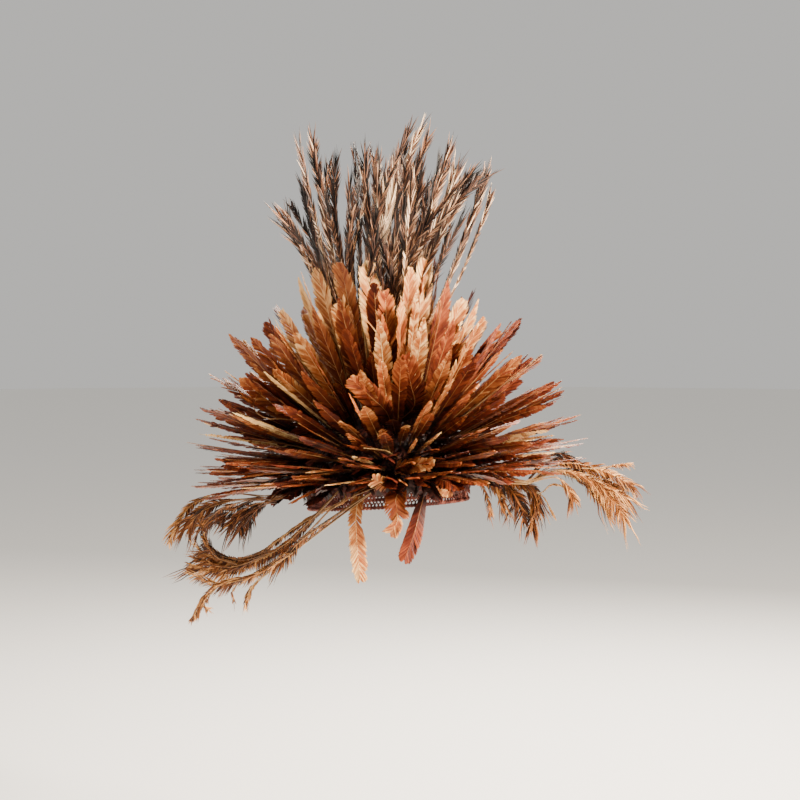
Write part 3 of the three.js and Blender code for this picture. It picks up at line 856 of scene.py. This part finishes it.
def strand_tree():
    tree, given = new_tree("strands", [
        ("Paths", "Geometry", None), ("Radius", "Float", 0.001), ("Sides", "Int", 4),
        ("Cord finish", "Material", None),
    ], "Cords")
    section = add(tree, "GeometryNodeCurvePrimitiveCircle", {
        "Resolution": given["Sides"], "Radius": given["Radius"],
    })
    paths = add(tree, "GeometryNodeMeshToCurve", {"Mesh": given["Paths"]})
    tubes = add(tree, "GeometryNodeCurveToMesh", {
        "Curve": paths, "Profile Curve": section, "Fill Caps": True,
    })
    tubes = add(tree, "GeometryNodeRealizeInstances", {"Geometry": tubes})
    tubes = add(tree, "GeometryNodeSetMaterial", {"Geometry": tubes, "Material": given["Cord finish"]})
    add(tree, "NodeGroupOutput", {0: tubes})
    return tree


strands = strand_tree()


# %% Cord finishes


def cord_finish(name, colours, fibre_mm):
    """Twisted plant fibre: matt, in patches of lighter and darker, with pale fibres that are partly worn and,
    on the cap's net, partly painted highlight.
    """
    material, tree = empty_material(name)
    place = add(tree, "ShaderNodeTexCoord").outputs["Object"]
    patches = add(tree, "ShaderNodeTexNoise", {"Vector": place, "Scale": 90.0, "Detail": 2.0})
    fibres = add(tree, "ShaderNodeTexNoise", {"Vector": place, "Scale": 1 / (fibre_mm * MM), "Detail": 3.0})
    both = add(tree, "ShaderNodeMath", {0: fibres, 1: 0.45}, operation="MULTIPLY")
    both = add(tree, "ShaderNodeMath", {0: patches, 1: 0.65, 2: both}, operation="MULTIPLY_ADD")
    ramp = add(tree, "ShaderNodeValToRGB", {"Fac": both})
    dark, pale = ramp.color_ramp.elements
    dark.position, pale.position = 0.35, 0.75
    dark.color, pale.color = linear(colours[0]), linear(colours[2])
    ramp.color_ramp.elements.new(0.55).color = linear(colours[1])
    bump = add(tree, "ShaderNodeBump", {"Strength": 0.6, "Distance": 0.0004, "Height": fibres})
    shader = add(tree, "ShaderNodeBsdfPrincipled", {
        "Base Color": ramp, "Roughness": 0.7, "IOR": 1.5, "Specular IOR Level": 0.25, "Normal": bump,
    })
    add(tree, "ShaderNodeOutputMaterial", {"Surface": shader})
    return material


# Looped cord of the cap: plant fibre rubbed with red earth. Its paler patches are partly wear and partly
# painted highlight, and its dark red is partly painted shade under the feathers.
net_finish = cord_finish("fibre_cord_red", ["#120504", "#4a170e", "#b8705c"], 0.5)
# Ring cords and the knot's windings: the same fibre, undyed but dark with age.
tie_finish = cord_finish("fibre_cord_brown", ["#120906", "#301a10", "#5c3c26"], 0.5)


# %% Make the rings
CORD_TURN = 9  # mm of cord to a full twist
CORD_STEPS = 96
VANES = {
    "Barb": vane_blade, "Longest barb": 0.022, "Clumps": 10.0, "Split": 0.3, "Tilt": 0.16, "Missing": 0.05,
    "Ragged": 0.17, "Sweep": 0.15, "Curl": -0.1, "Droop": 0.02, "Wave": 0.06, "Shaft sides": 4,
    "Vane finish": vane_finish, "Shaft finish": shaft_finish,
}


def ring_path(height, out):
    return [on_cap(360 * i / CORD_STEPS, height, out) for i in range(CORD_STEPS)]


for index, (ring, looks) in enumerate(zip(RINGS, RING_LOOKS)):
    rows = standing_feathers(index, ring, looks) + short_feathers(index, ring, looks)
    rows += cover_feathers(index, ring, looks) + slipped_feathers(index, ring)
    path = ring_path(ring["height"], SEAT_GAP + CORD_RADIUS)
    cord = twisted_cord("cord", path, CORD_RADIUS * MM, CORD_TURN, 4, tie_finish)
    step = looks["barb"] * MM
    vanes = grown("vanes", rows, **VANES, **{"Barb spacing": step, "Barb width": 1.1 * step})
    as_piece(f"ring_{index + 1}_feathers", [vanes, cord], f"feather_ring_{index + 1}")

# %% [markdown]
# ## The netted cap
# The cap is one long cord looped into the row below it, course on course, as a fishing net or a string bag
# is. One loop is drawn once, as a curve that runs down, round and up while it moves on, so each loop crosses
# its neighbours. The tree walks round every course of the cap and sets the loop there, a course's loops
# hooking into the next one down. The net has two bands: fine loops at the rim, where they show, and larger
# ones of thicker cord under the feathers. A twisted cord edges the rim.

# %% One loop
# In mm: the heights it runs from and to, and the step from loop to loop; then the cord's radius as a share of
# that step.
NET_BANDS = [(3.5, 34, 3.7, 0.21), (37, CAP_HEIGHT - 1.5, 5.0, 0.28)]
LOOP_STEPS = 7


def loop_object(thickness):
    """One loop of cord, one pitch long, as a closed tube with four sides."""
    middles = []
    for k in range(LOOP_STEPS + 1):
        t = math.tau * k / LOOP_STEPS
        on = k / LOOP_STEPS - 0.5 - 0.33 * math.sin(t)
        middles.append(Vector((on, 0.62 * math.cos(t), 0.13 * math.sin(t))))
    points = []
    for k, middle in enumerate(middles):
        run = (middles[min(k + 1, LOOP_STEPS)] - middles[max(k - 1, 0)]).normalized()
        side = run.cross(Vector((0, 0, 1))).normalized()
        over = side.cross(run)
        for i in range(4):
            turn = math.tau * (i + 0.5) / 4
            points.append(middle + (side * math.cos(turn) + over * math.sin(turn)) * thickness)
    faces = tube_faces(len(middles), 4) + [(3, 2, 1, 0), tuple(4 * LOOP_STEPS + i for i in range(4))]
    return bpy.data.objects.new("net_loop", new_mesh("net_loop", points, faces=faces))


# %% The tree of the net


def net_tree():
    tree, given = new_tree("net", [
        ("Courses", "Geometry", None), ("Loop", "Object", None), ("Pitch", "Float", 0.004),
        ("Unevenness", "Float", 0.25), ("Wander", "Float", 0.001), ("Cord finish", "Material", None),
    ], "Net")
    courses = add(tree, "GeometryNodeMeshToCurve", {"Mesh": given["Courses"]})
    places = add(tree, "GeometryNodeCurveToPoints", {
        "Curve": courses, "Length": given["Pitch"],
    }, mode="LENGTH")
    facing = add(tree, "GeometryNodeInputNamedAttribute", {"Name": "facing"}, data_type="FLOAT_VECTOR")
    turned = add(tree, "FunctionNodeAxesToRotation", {
        "Primary Axis": facing, "Secondary Axis": places.outputs["Tangent"],
    }, primary_axis="Z", secondary_axis="X")
    uneven = add(tree, "FunctionNodeRandomValue", {2: -1.0, 3: 1.0, "Seed": 4}).outputs[1]
    size = add(tree, "ShaderNodeMath", {0: uneven, 1: given["Unevenness"], 2: 1.0}, operation="MULTIPLY_ADD")
    size = add(tree, "ShaderNodeMath", {0: size, 1: given["Pitch"]}, operation="MULTIPLY")
    size = add(tree, "ShaderNodeCombineXYZ", {0: given["Pitch"], 1: size, 2: given["Pitch"]})
    loop = add(tree, "GeometryNodeObjectInfo", {"Object": given["Loop"]})
    loops = add(tree, "GeometryNodeInstanceOnPoints", {
        "Points": places.outputs["Points"], "Instance": loop.outputs["Geometry"],
        "Rotation": turned, "Scale": size,
    })
    net = add(tree, "GeometryNodeRealizeInstances", {"Geometry": loops})
    pull = add(tree, "ShaderNodeTexNoise", {"Scale": 140.0, "Detail": 1.0}).outputs["Color"]
    pull = add(tree, "ShaderNodeVectorMath", {0: pull, 1: (0.5, 0.5, 0.5)}, operation="SUBTRACT")
    pull = add(tree, "ShaderNodeVectorMath", {0: pull, 3: given["Wander"]}, operation="SCALE")
    net = add(tree, "GeometryNodeSetPosition", {"Geometry": net, "Offset": pull})
    net = add(tree, "GeometryNodeSetMaterial", {"Geometry": net, "Material": given["Cord finish"]})
    add(tree, "NodeGroupOutput", {0: net})
    return tree


# %% Lay the courses and make the cap
NET_DEPTH = -1.4  # mm, the net runs in the middle of the solid wall
COURSE_SIDES = 72
RIM_HEIGHT = 1.2
RIM_RADIUS = 1.9
RIM_TURN = 7  # mm of cord to a full twist


def courses_object(heights, pitch):
    """Closed chains of edges round the cap, one for each course, with the cap's outward direction on them."""
    points, edges, outward = [], [], []
    for k, height in enumerate(heights):
        first = len(points)
        half_step = (k % 2) * 360 * pitch / 2 / (math.tau * cap_radius(height))
        for i in range(COURSE_SIDES):
            bearing = 360 * i / COURSE_SIDES + half_step
            here = on_cap(bearing, height, NET_DEPTH)
            points.append(here)
            outward.append((on_cap(bearing, height, NET_DEPTH + 1) - here).normalized())
            edges.append((first + i, first + (i + 1) % COURSE_SIDES))
    return in_scene("courses", new_mesh("courses", points, edges, facing=outward))


net, cap_meshes = net_tree(), []
for low, high, pitch, thickness in NET_BANDS:
    heights, height = [], low
    while height < high:
        heights.append(height)
        height += pitch * max(cap_normal(height).x, 0.12)
    cap_meshes.append(evaluated(courses_object(heights, pitch), net, {
        "Loop": loop_object(thickness), "Pitch": pitch * MM, "Unevenness": 0.25,
        "Wander": 0.35 * pitch * MM, "Cord finish": net_finish,
    }))
    print("courses of loops at a pitch of", pitch, "mm:", len(heights))
rim_path = ring_path(RIM_HEIGHT, NET_DEPTH)
cap_meshes.append(twisted_cord("rim", rim_path, RIM_RADIUS * MM, RIM_TURN, 5, net_finish))
as_piece("looped_cap", cap_meshes, "netted_cap")

# %% [markdown]
# ## The plumes on the crown
# A cord-bound knot stands on the crown with the long plumes in it. They are softer than the body feathers: a
# thin, nearly bare stem below, then loose barbs that stand off at narrow angles and fan into a tuft. Most are
# nearly black, with tan, reddish and cream ones among them. Each row of the table is one plume of the solid
# model, set out as the camera sees it. Three to five thinner companions stand beside each, because the real
# tuft is that full.

# %% Plume table
# In mm: how far across the root, the middle and the tip are, how near and how high the tip is, and the reach
# of the barbs.
PLUMES = table("root middle tip near up width tone", [
    (-12, -54, -77, 18, 380, 6, 0.55),
    (-10, -60, -109, 30, 313, 8, 0.68),
    (-9, -47, -56, -22, 368, 9, 0.32),
    (-13, -56, -92, -30, 337, 6, 0.34),
    (-8, -36, -39, 48, 317, 5, 0.52),
    (-5, -21, -25, -62, 378, 8, 0.3),
    (-3, -11, -11, -25, 368, 8, 0.48),
    (0, -4, 8, -72, 370, 8, 0.36),
    (-2, -7, 37, 22, 396, 7, 1.0),
    (3, 14, 38, -45, 360, 7, 0.55),
    (6, 27, 64, -25, 371, 5, 0.62),
    (8, 38, 75, 20, 355, 6, 0.66),
    (2, 7, 94, 45, 349, 8, 0.38),
    (12, 62, 103, -8, 344, 4, 0.66),
    (7, 24, 72, 36, 322, 8, 0.74),
    (-3, -11, -16, 66, 311, 9, 0.50),
    (1, 9, 20, 62, 362, 8, 0.36),
    (4, 20, 46, -78, 340, 8, 0.36),
])

# %% Grow the plumes
KNOT_FOOT = CAP_HEIGHT + SEAT_GAP
KNOT_HEIGHT = 17
ROOT_UP = KNOT_FOOT + KNOT_HEIGHT / 2
TO_LEFT = direction(NEAR_BEARING - 90, 0)
rows = []
for i, plume in enumerate(PLUMES):
    for companion in range(6 if abs(plume["tip"]) < 50 else 4):  # fuller in the middle of the tuft
        item = 900 + i + 40 * companion
        shift = min(0.8 * plume["width"] * companion, 18)
        root_across = plume["root"] + 3 * companion * stray(item, 1)
        root = TIP_TURN @ facing_point(root_across, plume["near"] * 0.15, ROOT_UP)
        near = plume["near"] + shift * stray(item, 2)
        up = plume["up"] * (1 - min(companion, 3) * (0.012 + 0.014 * stray(item, 5)))
        middle = facing_point(plume["middle"] + shift * stray(item, 3), near / 2, (ROOT_UP + up) / 2)
        tip = facing_point(plume["tip"] + shift * stray(item, 6), near, up)
        pull = middle * 2 - (root + tip) / 2
        tip = tip - (tip - middle).normalized() * 2.6 * plume["width"] * MM
        tone = plume["tone"] if companion < 2 else 0.45 + 0.22 * stray(item, 7)
        rows.append(feather_row(
            bent_curve(root, pull, tip, 14), plume["width"] * (1.2 - 0.12 * companion), tone,
            roll=40 * stray(item, 4), outline=PLUME_OUTLINE, sideways=TO_LEFT, angles=(22, 13), thick=1.0,
            toning=-0.4,
        ))
DOWNY = {
    "Barb": plume_blade, "Barb spacing": 0.0022, "Barb width": 0.0012, "Longest barb": 0.024, "Clumps": 9.0,
    "Split": 0.4, "Tilt": 0.4, "Missing": 0.12, "Ragged": 0.25, "Sweep": 0.05, "Curl": 0.05, "Droop": 0.02,
    "Wave": 0.35, "Shaft sides": 4, "Vane finish": plume_finish, "Shaft finish": shaft_finish,
}
plume_mesh = grown("plumes", rows, **DOWNY)

# %% Wind the knot
KNOT_RADIUS = 18
KNOT_SIDES = 32
WINDINGS = 6
WINDING_RADIUS = 1.6
WINDING_STEP = 2.7
WINDING_TURN = 7  # mm of cord to a full twist
CORE = [(0.4, 15.5), (8, 15.5), (15.5, 12.5)]  # height over the knot's foot, and radius


def knot_ring(height, radius):
    turns = [math.tau * i / KNOT_SIDES for i in range(KNOT_SIDES)]
    return [TIP_TURN @ Vector((radius * math.cos(t), radius * math.sin(t), height)) * MM for t in turns]


knot_meshes = []
for k in range(WINDINGS):
    height = KNOT_FOOT + WINDING_RADIUS + k * WINDING_STEP
    radius = (KNOT_RADIUS - WINDING_RADIUS) * (1 if k < 3 else 1 - 0.07 * (k - 2))
    path = knot_ring(height, radius)
    knot_meshes.append(twisted_cord("winding", path, WINDING_RADIUS * MM, WINDING_TURN, 4, tie_finish))
core_points = [p for up, radius in CORE for p in knot_ring(KNOT_FOOT + up, radius)]
core_ends = [tuple(range(KNOT_SIDES - 1, -1, -1)), tuple(range(2 * KNOT_SIDES, 3 * KNOT_SIDES))]
core_mesh = new_mesh("core", core_points, faces=tube_faces(len(CORE), KNOT_SIDES) + core_ends)
core_mesh.materials.append(tie_finish)
as_piece("crown_plumes", [plume_mesh, core_mesh, *knot_meshes], "crown_plume")

# %% [markdown]
# ## The drooping plumes
# These are loose, downy plumes whose long barbs hang from an arching shaft. Four to nine shafts make a plume.
# Each follows marks read off the photograph and is drawn twice, the second time a little aside and thinner.
# The droop input pulls the barbs' ends down, and the wave input tangles them.

# %% Drooping plume tables
TIE_HEIGHT = 24  # mm over the rim, of the ties of the drooping and the hanging feathers
# bearing: of the tie on the cap. Each strand is a shaft: its colour, the reach of its barbs in mm and its
# marks, as across and up. near: how far towards the camera the first and last marks lie. bare: the share of
# the shaft with no barbs.
DROOPING = [
    {"bearing": 130, "bare": 0.42, "near": (2, 4), "strands": [
        (0.66, 6, [(-120, 9), (-150, 11), (-178, 10), (-200, 1), (-215, -17), (-224, -38)]),
        (0.42, 11, [(-122, 8), (-152, 6), (-178, 2), (-194, -10), (-203, -22)]),
        (0.36, 11, [(-124, 8), (-150, 3), (-170, -4), (-184, -16), (-190, -24)]),
        (0.46, 9, [(-130, 8), (-160, 4), (-185, -4), (-204, -16)]),
    ]},
    {"bearing": 150, "bare": 0.40, "near": (32, 31), "strands": [
        (0.40, 8, [(-112, 9), (-132, 9), (-150, 1), (-163, -6), (-171, -15)]),
        (0.34, 9, [(-112, 9), (-128, 4), (-142, -8), (-150, -22)]),
        (0.44, 9, [(-113, 8), (-134, 4), (-150, -6), (-160, -18)]),
        (0.30, 8, [(-112, 8), (-124, 4), (-134, -4), (-141, -16)]),
    ]},
    {"bearing": 184, "bare": 0.10, "near": (70, 52), "strands": [
        (0.60, 3.5, [(-43, 13), (-73, -3), (-101, -23), (-122, -39), (-152, -52), (-172, -56)]),
        (0.66, 11, [(-78, -12), (-104, -36), (-130, -50), (-152, -58), (-176, -61), (-197, -57)]),
        (0.70, 12, [(-100, -32), (-128, -46), (-150, -52), (-172, -50), (-188, -41)]),
        (0.56, 10, [(-118, -40), (-142, -48), (-162, -45), (-178, -37), (-184, -29)]),
        (0.50, 9, [(-122, -42), (-148, -55), (-172, -55), (-190, -48)]),
        (0.62, 6, [(-150, -52), (-170, -44), (-182, -30), (-188, -14)]),
    ]},
    {"bearing": 210, "bare": 0.10, "near": (94, 72), "strands": [
        (0.62, 4, [(-49, 11), (-80, -19), (-100, -37), (-129, -58), (-152, -65), (-168, -71), (-181, -82),
                   (-189, -97), (-195, -107)]),
        (0.70, 8, [(-80, -21), (-96, -38), (-106, -48), (-116, -54)]),
        (0.72, 8, [(-100, -40), (-129, -60), (-152, -68), (-172, -70), (-190, -64)]),
        (0.78, 4, [(-116, -56), (-131, -68), (-139, -82), (-142, -93)]),
        (0.60, 3, [(-148, -68), (-154, -78), (-153, -88)]),
        (0.66, 5, [(-168, -72), (-178, -82), (-182, -92), (-178, -97)]),
    ]},
    {"bearing": -50, "bare": 0.15, "near": (2, 1), "strands": [
        (0.44, 9, [(86, 31), (110, 31), (132, 24), (149, 17), (155, 5), (154, -8)]),
        (0.34, 11, [(86, 30), (108, 26), (126, 15), (136, 0), (138, -16)]),
        (0.50, 9, [(86, 29), (100, 24), (112, 12), (118, 0)]),
        (0.40, 10, [(88, 30), (118, 28), (140, 19), (149, 2), (147, -25)]),
        (0.52, 4, [(84, 29), (94, 22), (102, 5), (105, -11)]),
        (0.30, 11, [(92, 29), (116, 24), (130, 10), (127, -2)]),
        (0.80, 1.2, [(140, 16), (156, 12), (168, 21), (186, 17)]),
        (0.80, 1.6, [(142, 14), (158, 9), (165, -3), (171, -14)]),
    ]},
    {"bearing": -70, "bare": 0.42, "near": (30, 23), "strands": [
        (0.60, 11, [(140, 27), (165, 41), (196, 43), (222, 34), (248, 22)]),
        (0.74, 13, [(140, 25), (165, 37), (190, 36), (214, 21), (232, 3), (240, -11)]),
        (0.66, 13, [(140, 25), (168, 35), (194, 34), (222, 24), (242, 10)]),
        (0.22, 9, [(142, 29), (158, 44), (174, 49), (190, 44)]),
        (0.62, 9, [(146, 29), (168, 32), (182, 20), (188, 6)]),
        (0.70, 10, [(142, 26), (172, 34), (198, 24), (214, 9), (222, -3)]),
        (0.26, 8, [(148, 30), (166, 38), (182, 36), (196, 30)]),
        (0.20, 10, [(146, 36), (160, 50), (178, 54), (194, 44)]),
        (0.70, 3, [(196, 40), (212, 40), (232, 43), (244, 44)]),
    ]},
]

# %% Grow the drooping plumes
DROOPY = {
    **DOWNY, "Barb": down_blade, "Barb spacing": 0.0016, "Barb width": 0.0013, "Split": 0.6, "Tilt": 0.9,
    "Missing": 0.1, "Ragged": 0.4, "Sweep": 0.1, "Curl": 0.1, "Droop": 0.4, "Wave": 0.9,
    "Vane finish": down_finish,
}
DROOP_OUTLINE = [(0, 0.1), (0.1, 0.3), (0.3, 0.75), (0.55, 1), (0.85, 1), (1, 0.7)]
for k, plume in enumerate(DROOPING):
    tie = on_cap(plume["bearing"], TIE_HEIGHT, 1.2)
    first, last = plume["near"]
    stem = plume["strands"][0][2]
    outline = [(plume["bare"] + (1 - plume["bare"]) * t, share) for t, share in DROOP_OUTLINE]
    rows = []
    for number, (tone, reach, marks) in enumerate(plume["strands"]):
        for copy in (0, 1):
            item = 1200 + 100 * k + 2 * number + copy
            loose = min(0.3 * reach, 3) * copy
            # The first three and those that start where the stem does run back to the tie.
            line = [tie] if marks[0] == stem[0] or number < 3 else []
            for i, (across, up) in enumerate(marks):
                near = first + (last - first) * i / (len(marks) - 1) + 0.4 * reach * stray(item, 2)
                across, up = across + loose * stray(item + i, 1), up + loose * stray(item + i, 3)
                line.append(facing_point(across, near, up))
            rows.append(feather_row(
                marked_curve(line, 16), reach * (1 - 0.25 * copy), tone + 0.1 * stray(item, 4),
                roll=65 + 30 * stray(item, 5), outline=outline, angles=(46, 30), thick=0.7, toning=0.25,
            ))
    mesh = grown("down", rows, **DROOPY)
    as_piece(f"drooping_down_{k + 1}", [mesh], f"drooping_plume_{k + 1}")

# %% [markdown]
# ## The loose feathers over the rim
# A few body feathers have slipped and hang over the rim: a long frayed pale one, a smooth dark orange one, a
# pair of short curled ones, and one that lies along the rim. They are made as the ring feathers are, each
# with numbers of its own.

# %% Hanging feathers
# bearing: of the tie on the cap. marks: along the shaft, as across, near and up in mm. worn: how frayed it
# is, from 0 to 1. upright: whether it stands on its edge.
HANGING = [
    {"bearing": -163, "marks": [(-31, 82, 2), (-30, 88, -30), (-27, 90, -62)], "width": 9, "tone": 0.78,
     "outline": [(0.05, 0.5), (0.2, 0.75), (0.5, 1), (0.85, 1), (0.96, 0.7), (1, 0.3)], "worn": 1.0},
    {"bearing": -117, "marks": [(32, 84, 4), (26, 96, -18), (17, 104, -41)], "width": 9.5, "tone": 0.38,
     "outline": [(0.1, 0.3), (0.3, 0.7), (0.6, 1), (0.85, 0.85), (1, 0.3)], "worn": 0.1},
    {"bearing": -136, "marks": [(8, 96, 16), (11, 102, 2)], "width": 12, "tone": 0.56,
     "outline": [(0.05, 0.6), (0.3, 0.95), (0.6, 1), (0.9, 0.8), (1, 0.4)], "worn": 0.4},
    {"bearing": -82, "marks": [(62, 64, 22), (52, 76, 24), (43, 84, 25)], "width": 7, "tone": 0.74,
     "outline": [(0.1, 0.8), (0.3, 1), (0.6, 0.8), (0.9, 0.35), (1, 0.1)], "worn": 0.3, "upright": True},
]
SECOND_CURL = {"marks": [(6, 92, 14), (10, 104, 0), (8, 108, -8), (3, 106, -15)], "width": 8.5, "tone": 0.7,
               "outline": [(0.45, 0), (0.55, 0.7), (0.75, 1), (0.95, 0.8), (1, 0.5)]}
CURLED = 2  # the row that has the second curl beside it
for k, row in enumerate(HANGING):
    root = on_cap(row["bearing"], TIE_HEIGHT, 0.6)
    made = []
    for leaf in (row, SECOND_CURL) if k == CURLED else (row,):
        marks = [root] + [facing_point(*mark) for mark in leaf["marks"]]
        aside = direction(NEAR_BEARING, 0).cross(marks[-1] - root)
        spread = Vector((0, 0, 1)) if row.get("upright") else aside
        feather = feather_row(
            marked_curve(marks, 12), leaf["width"], leaf["tone"], outline=leaf["outline"], sideways=spread,
            angles=(58, 46) if k == CURLED else (56, 32), thick=0.5,
        )
        # The darker quill end, which on the other feathers is partly painted shade, is left off: this feather
        # is worn pale.
        feather["along"] = [0.35 + 0.65 * t for t in feather["along"]]  # no dark quill end: it is worn pale
        made.append(feather)
    mesh = grown("hanging", made, **{
        **VANES, "Barb spacing": 0.0013, "Barb width": 0.0017, "Ragged": 0.35 * row["worn"],
        "Split": 0.4 * row["worn"], "Missing": 0.06 * row["worn"],
    })
    as_piece(f"loose_feather_{k + 1}", [mesh], f"hanging_feather_{k + 1}")

# %% [markdown]
# ## Floor, light and sizes
# The headdress is shown at the height of its mount, so the floor lies well below it, plain and pale. A soft
# key light comes from the right and front, as in the photograph, with a weak fill from the left and one from
# behind.

# %% Floor and lights
FLOOR_UP = -0.42
FLOOR_RADIUS = 9
FLOOR_SIDES = 64
floor_turns = [math.tau * i / FLOOR_SIDES for i in range(FLOOR_SIDES)]
floor_ring = [(FLOOR_RADIUS * math.cos(t), FLOOR_RADIUS * math.sin(t), FLOOR_UP) for t in floor_turns]
floor_mesh = new_mesh("floor", floor_ring, faces=[tuple(range(FLOOR_SIDES))])
floor = in_scene("floor", floor_mesh)
floor_material = bpy.data.materials.new("studio_paper")
floor_material.use_nodes = True
floor_material.node_tree.nodes["Principled BSDF"].inputs["Base Color"].default_value = linear("#f6f4f0")
floor_material.node_tree.nodes["Principled BSDF"].inputs["Roughness"].default_value = 0.9
floor_mesh.materials.append(floor_material)
floor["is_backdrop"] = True

# across, near and up are in mm, and the lamp's size is in metres.
LIGHTS = table("name across near up size watts colour", [
    ("key", 1450, 850, 800, 0.5, 220, "#fff0dc"),
    ("fill", -1400, 900, 400, 1.2, 10, "#ffe8d8"),
    ("rim", 500, -1300, 1000, 0.9, 80, "#fff4e6"),
])
target = Vector((0, 0, 0.12))  # a little over the crown of the cap
for row in LIGHTS:
    lamp = bpy.data.lights.new(row["name"], "AREA")
    lamp.shape = "DISK"
    lamp.size = row["size"]
    lamp.energy = row["watts"]
    lamp.color = linear(row["colour"])[:3]
    light = in_scene(row["name"], lamp)
    light.location = facing_point(row["across"], row["near"], row["up"])
    light.rotation_mode = "QUATERNION"
    light.rotation_quaternion = (target - light.location).to_track_quat("-Z", "Y")

world = bpy.data.worlds.new("studio")
world.use_nodes = True
world.node_tree.nodes["Background"].inputs["Color"].default_value = linear("#e6e4e0")
world.node_tree.nodes["Background"].inputs["Strength"].default_value = 0.75
bpy.context.scene.world = world

# %% Sizes and the last line
made_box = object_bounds()
for axis in range(3):
    side = cad_box[1][axis] - cad_box[0][axis]
    room = 0.03 * side + 0.01
    grew = (cad_box[0][axis] - made_box[0][axis], made_box[1][axis] - cad_box[1][axis])
    print("xyz"[axis], "grew by", [round(g * 1000, 1) for g in grew], "mm of", round(room * 1000, 1))
print("triangles in all:", sum(totals))
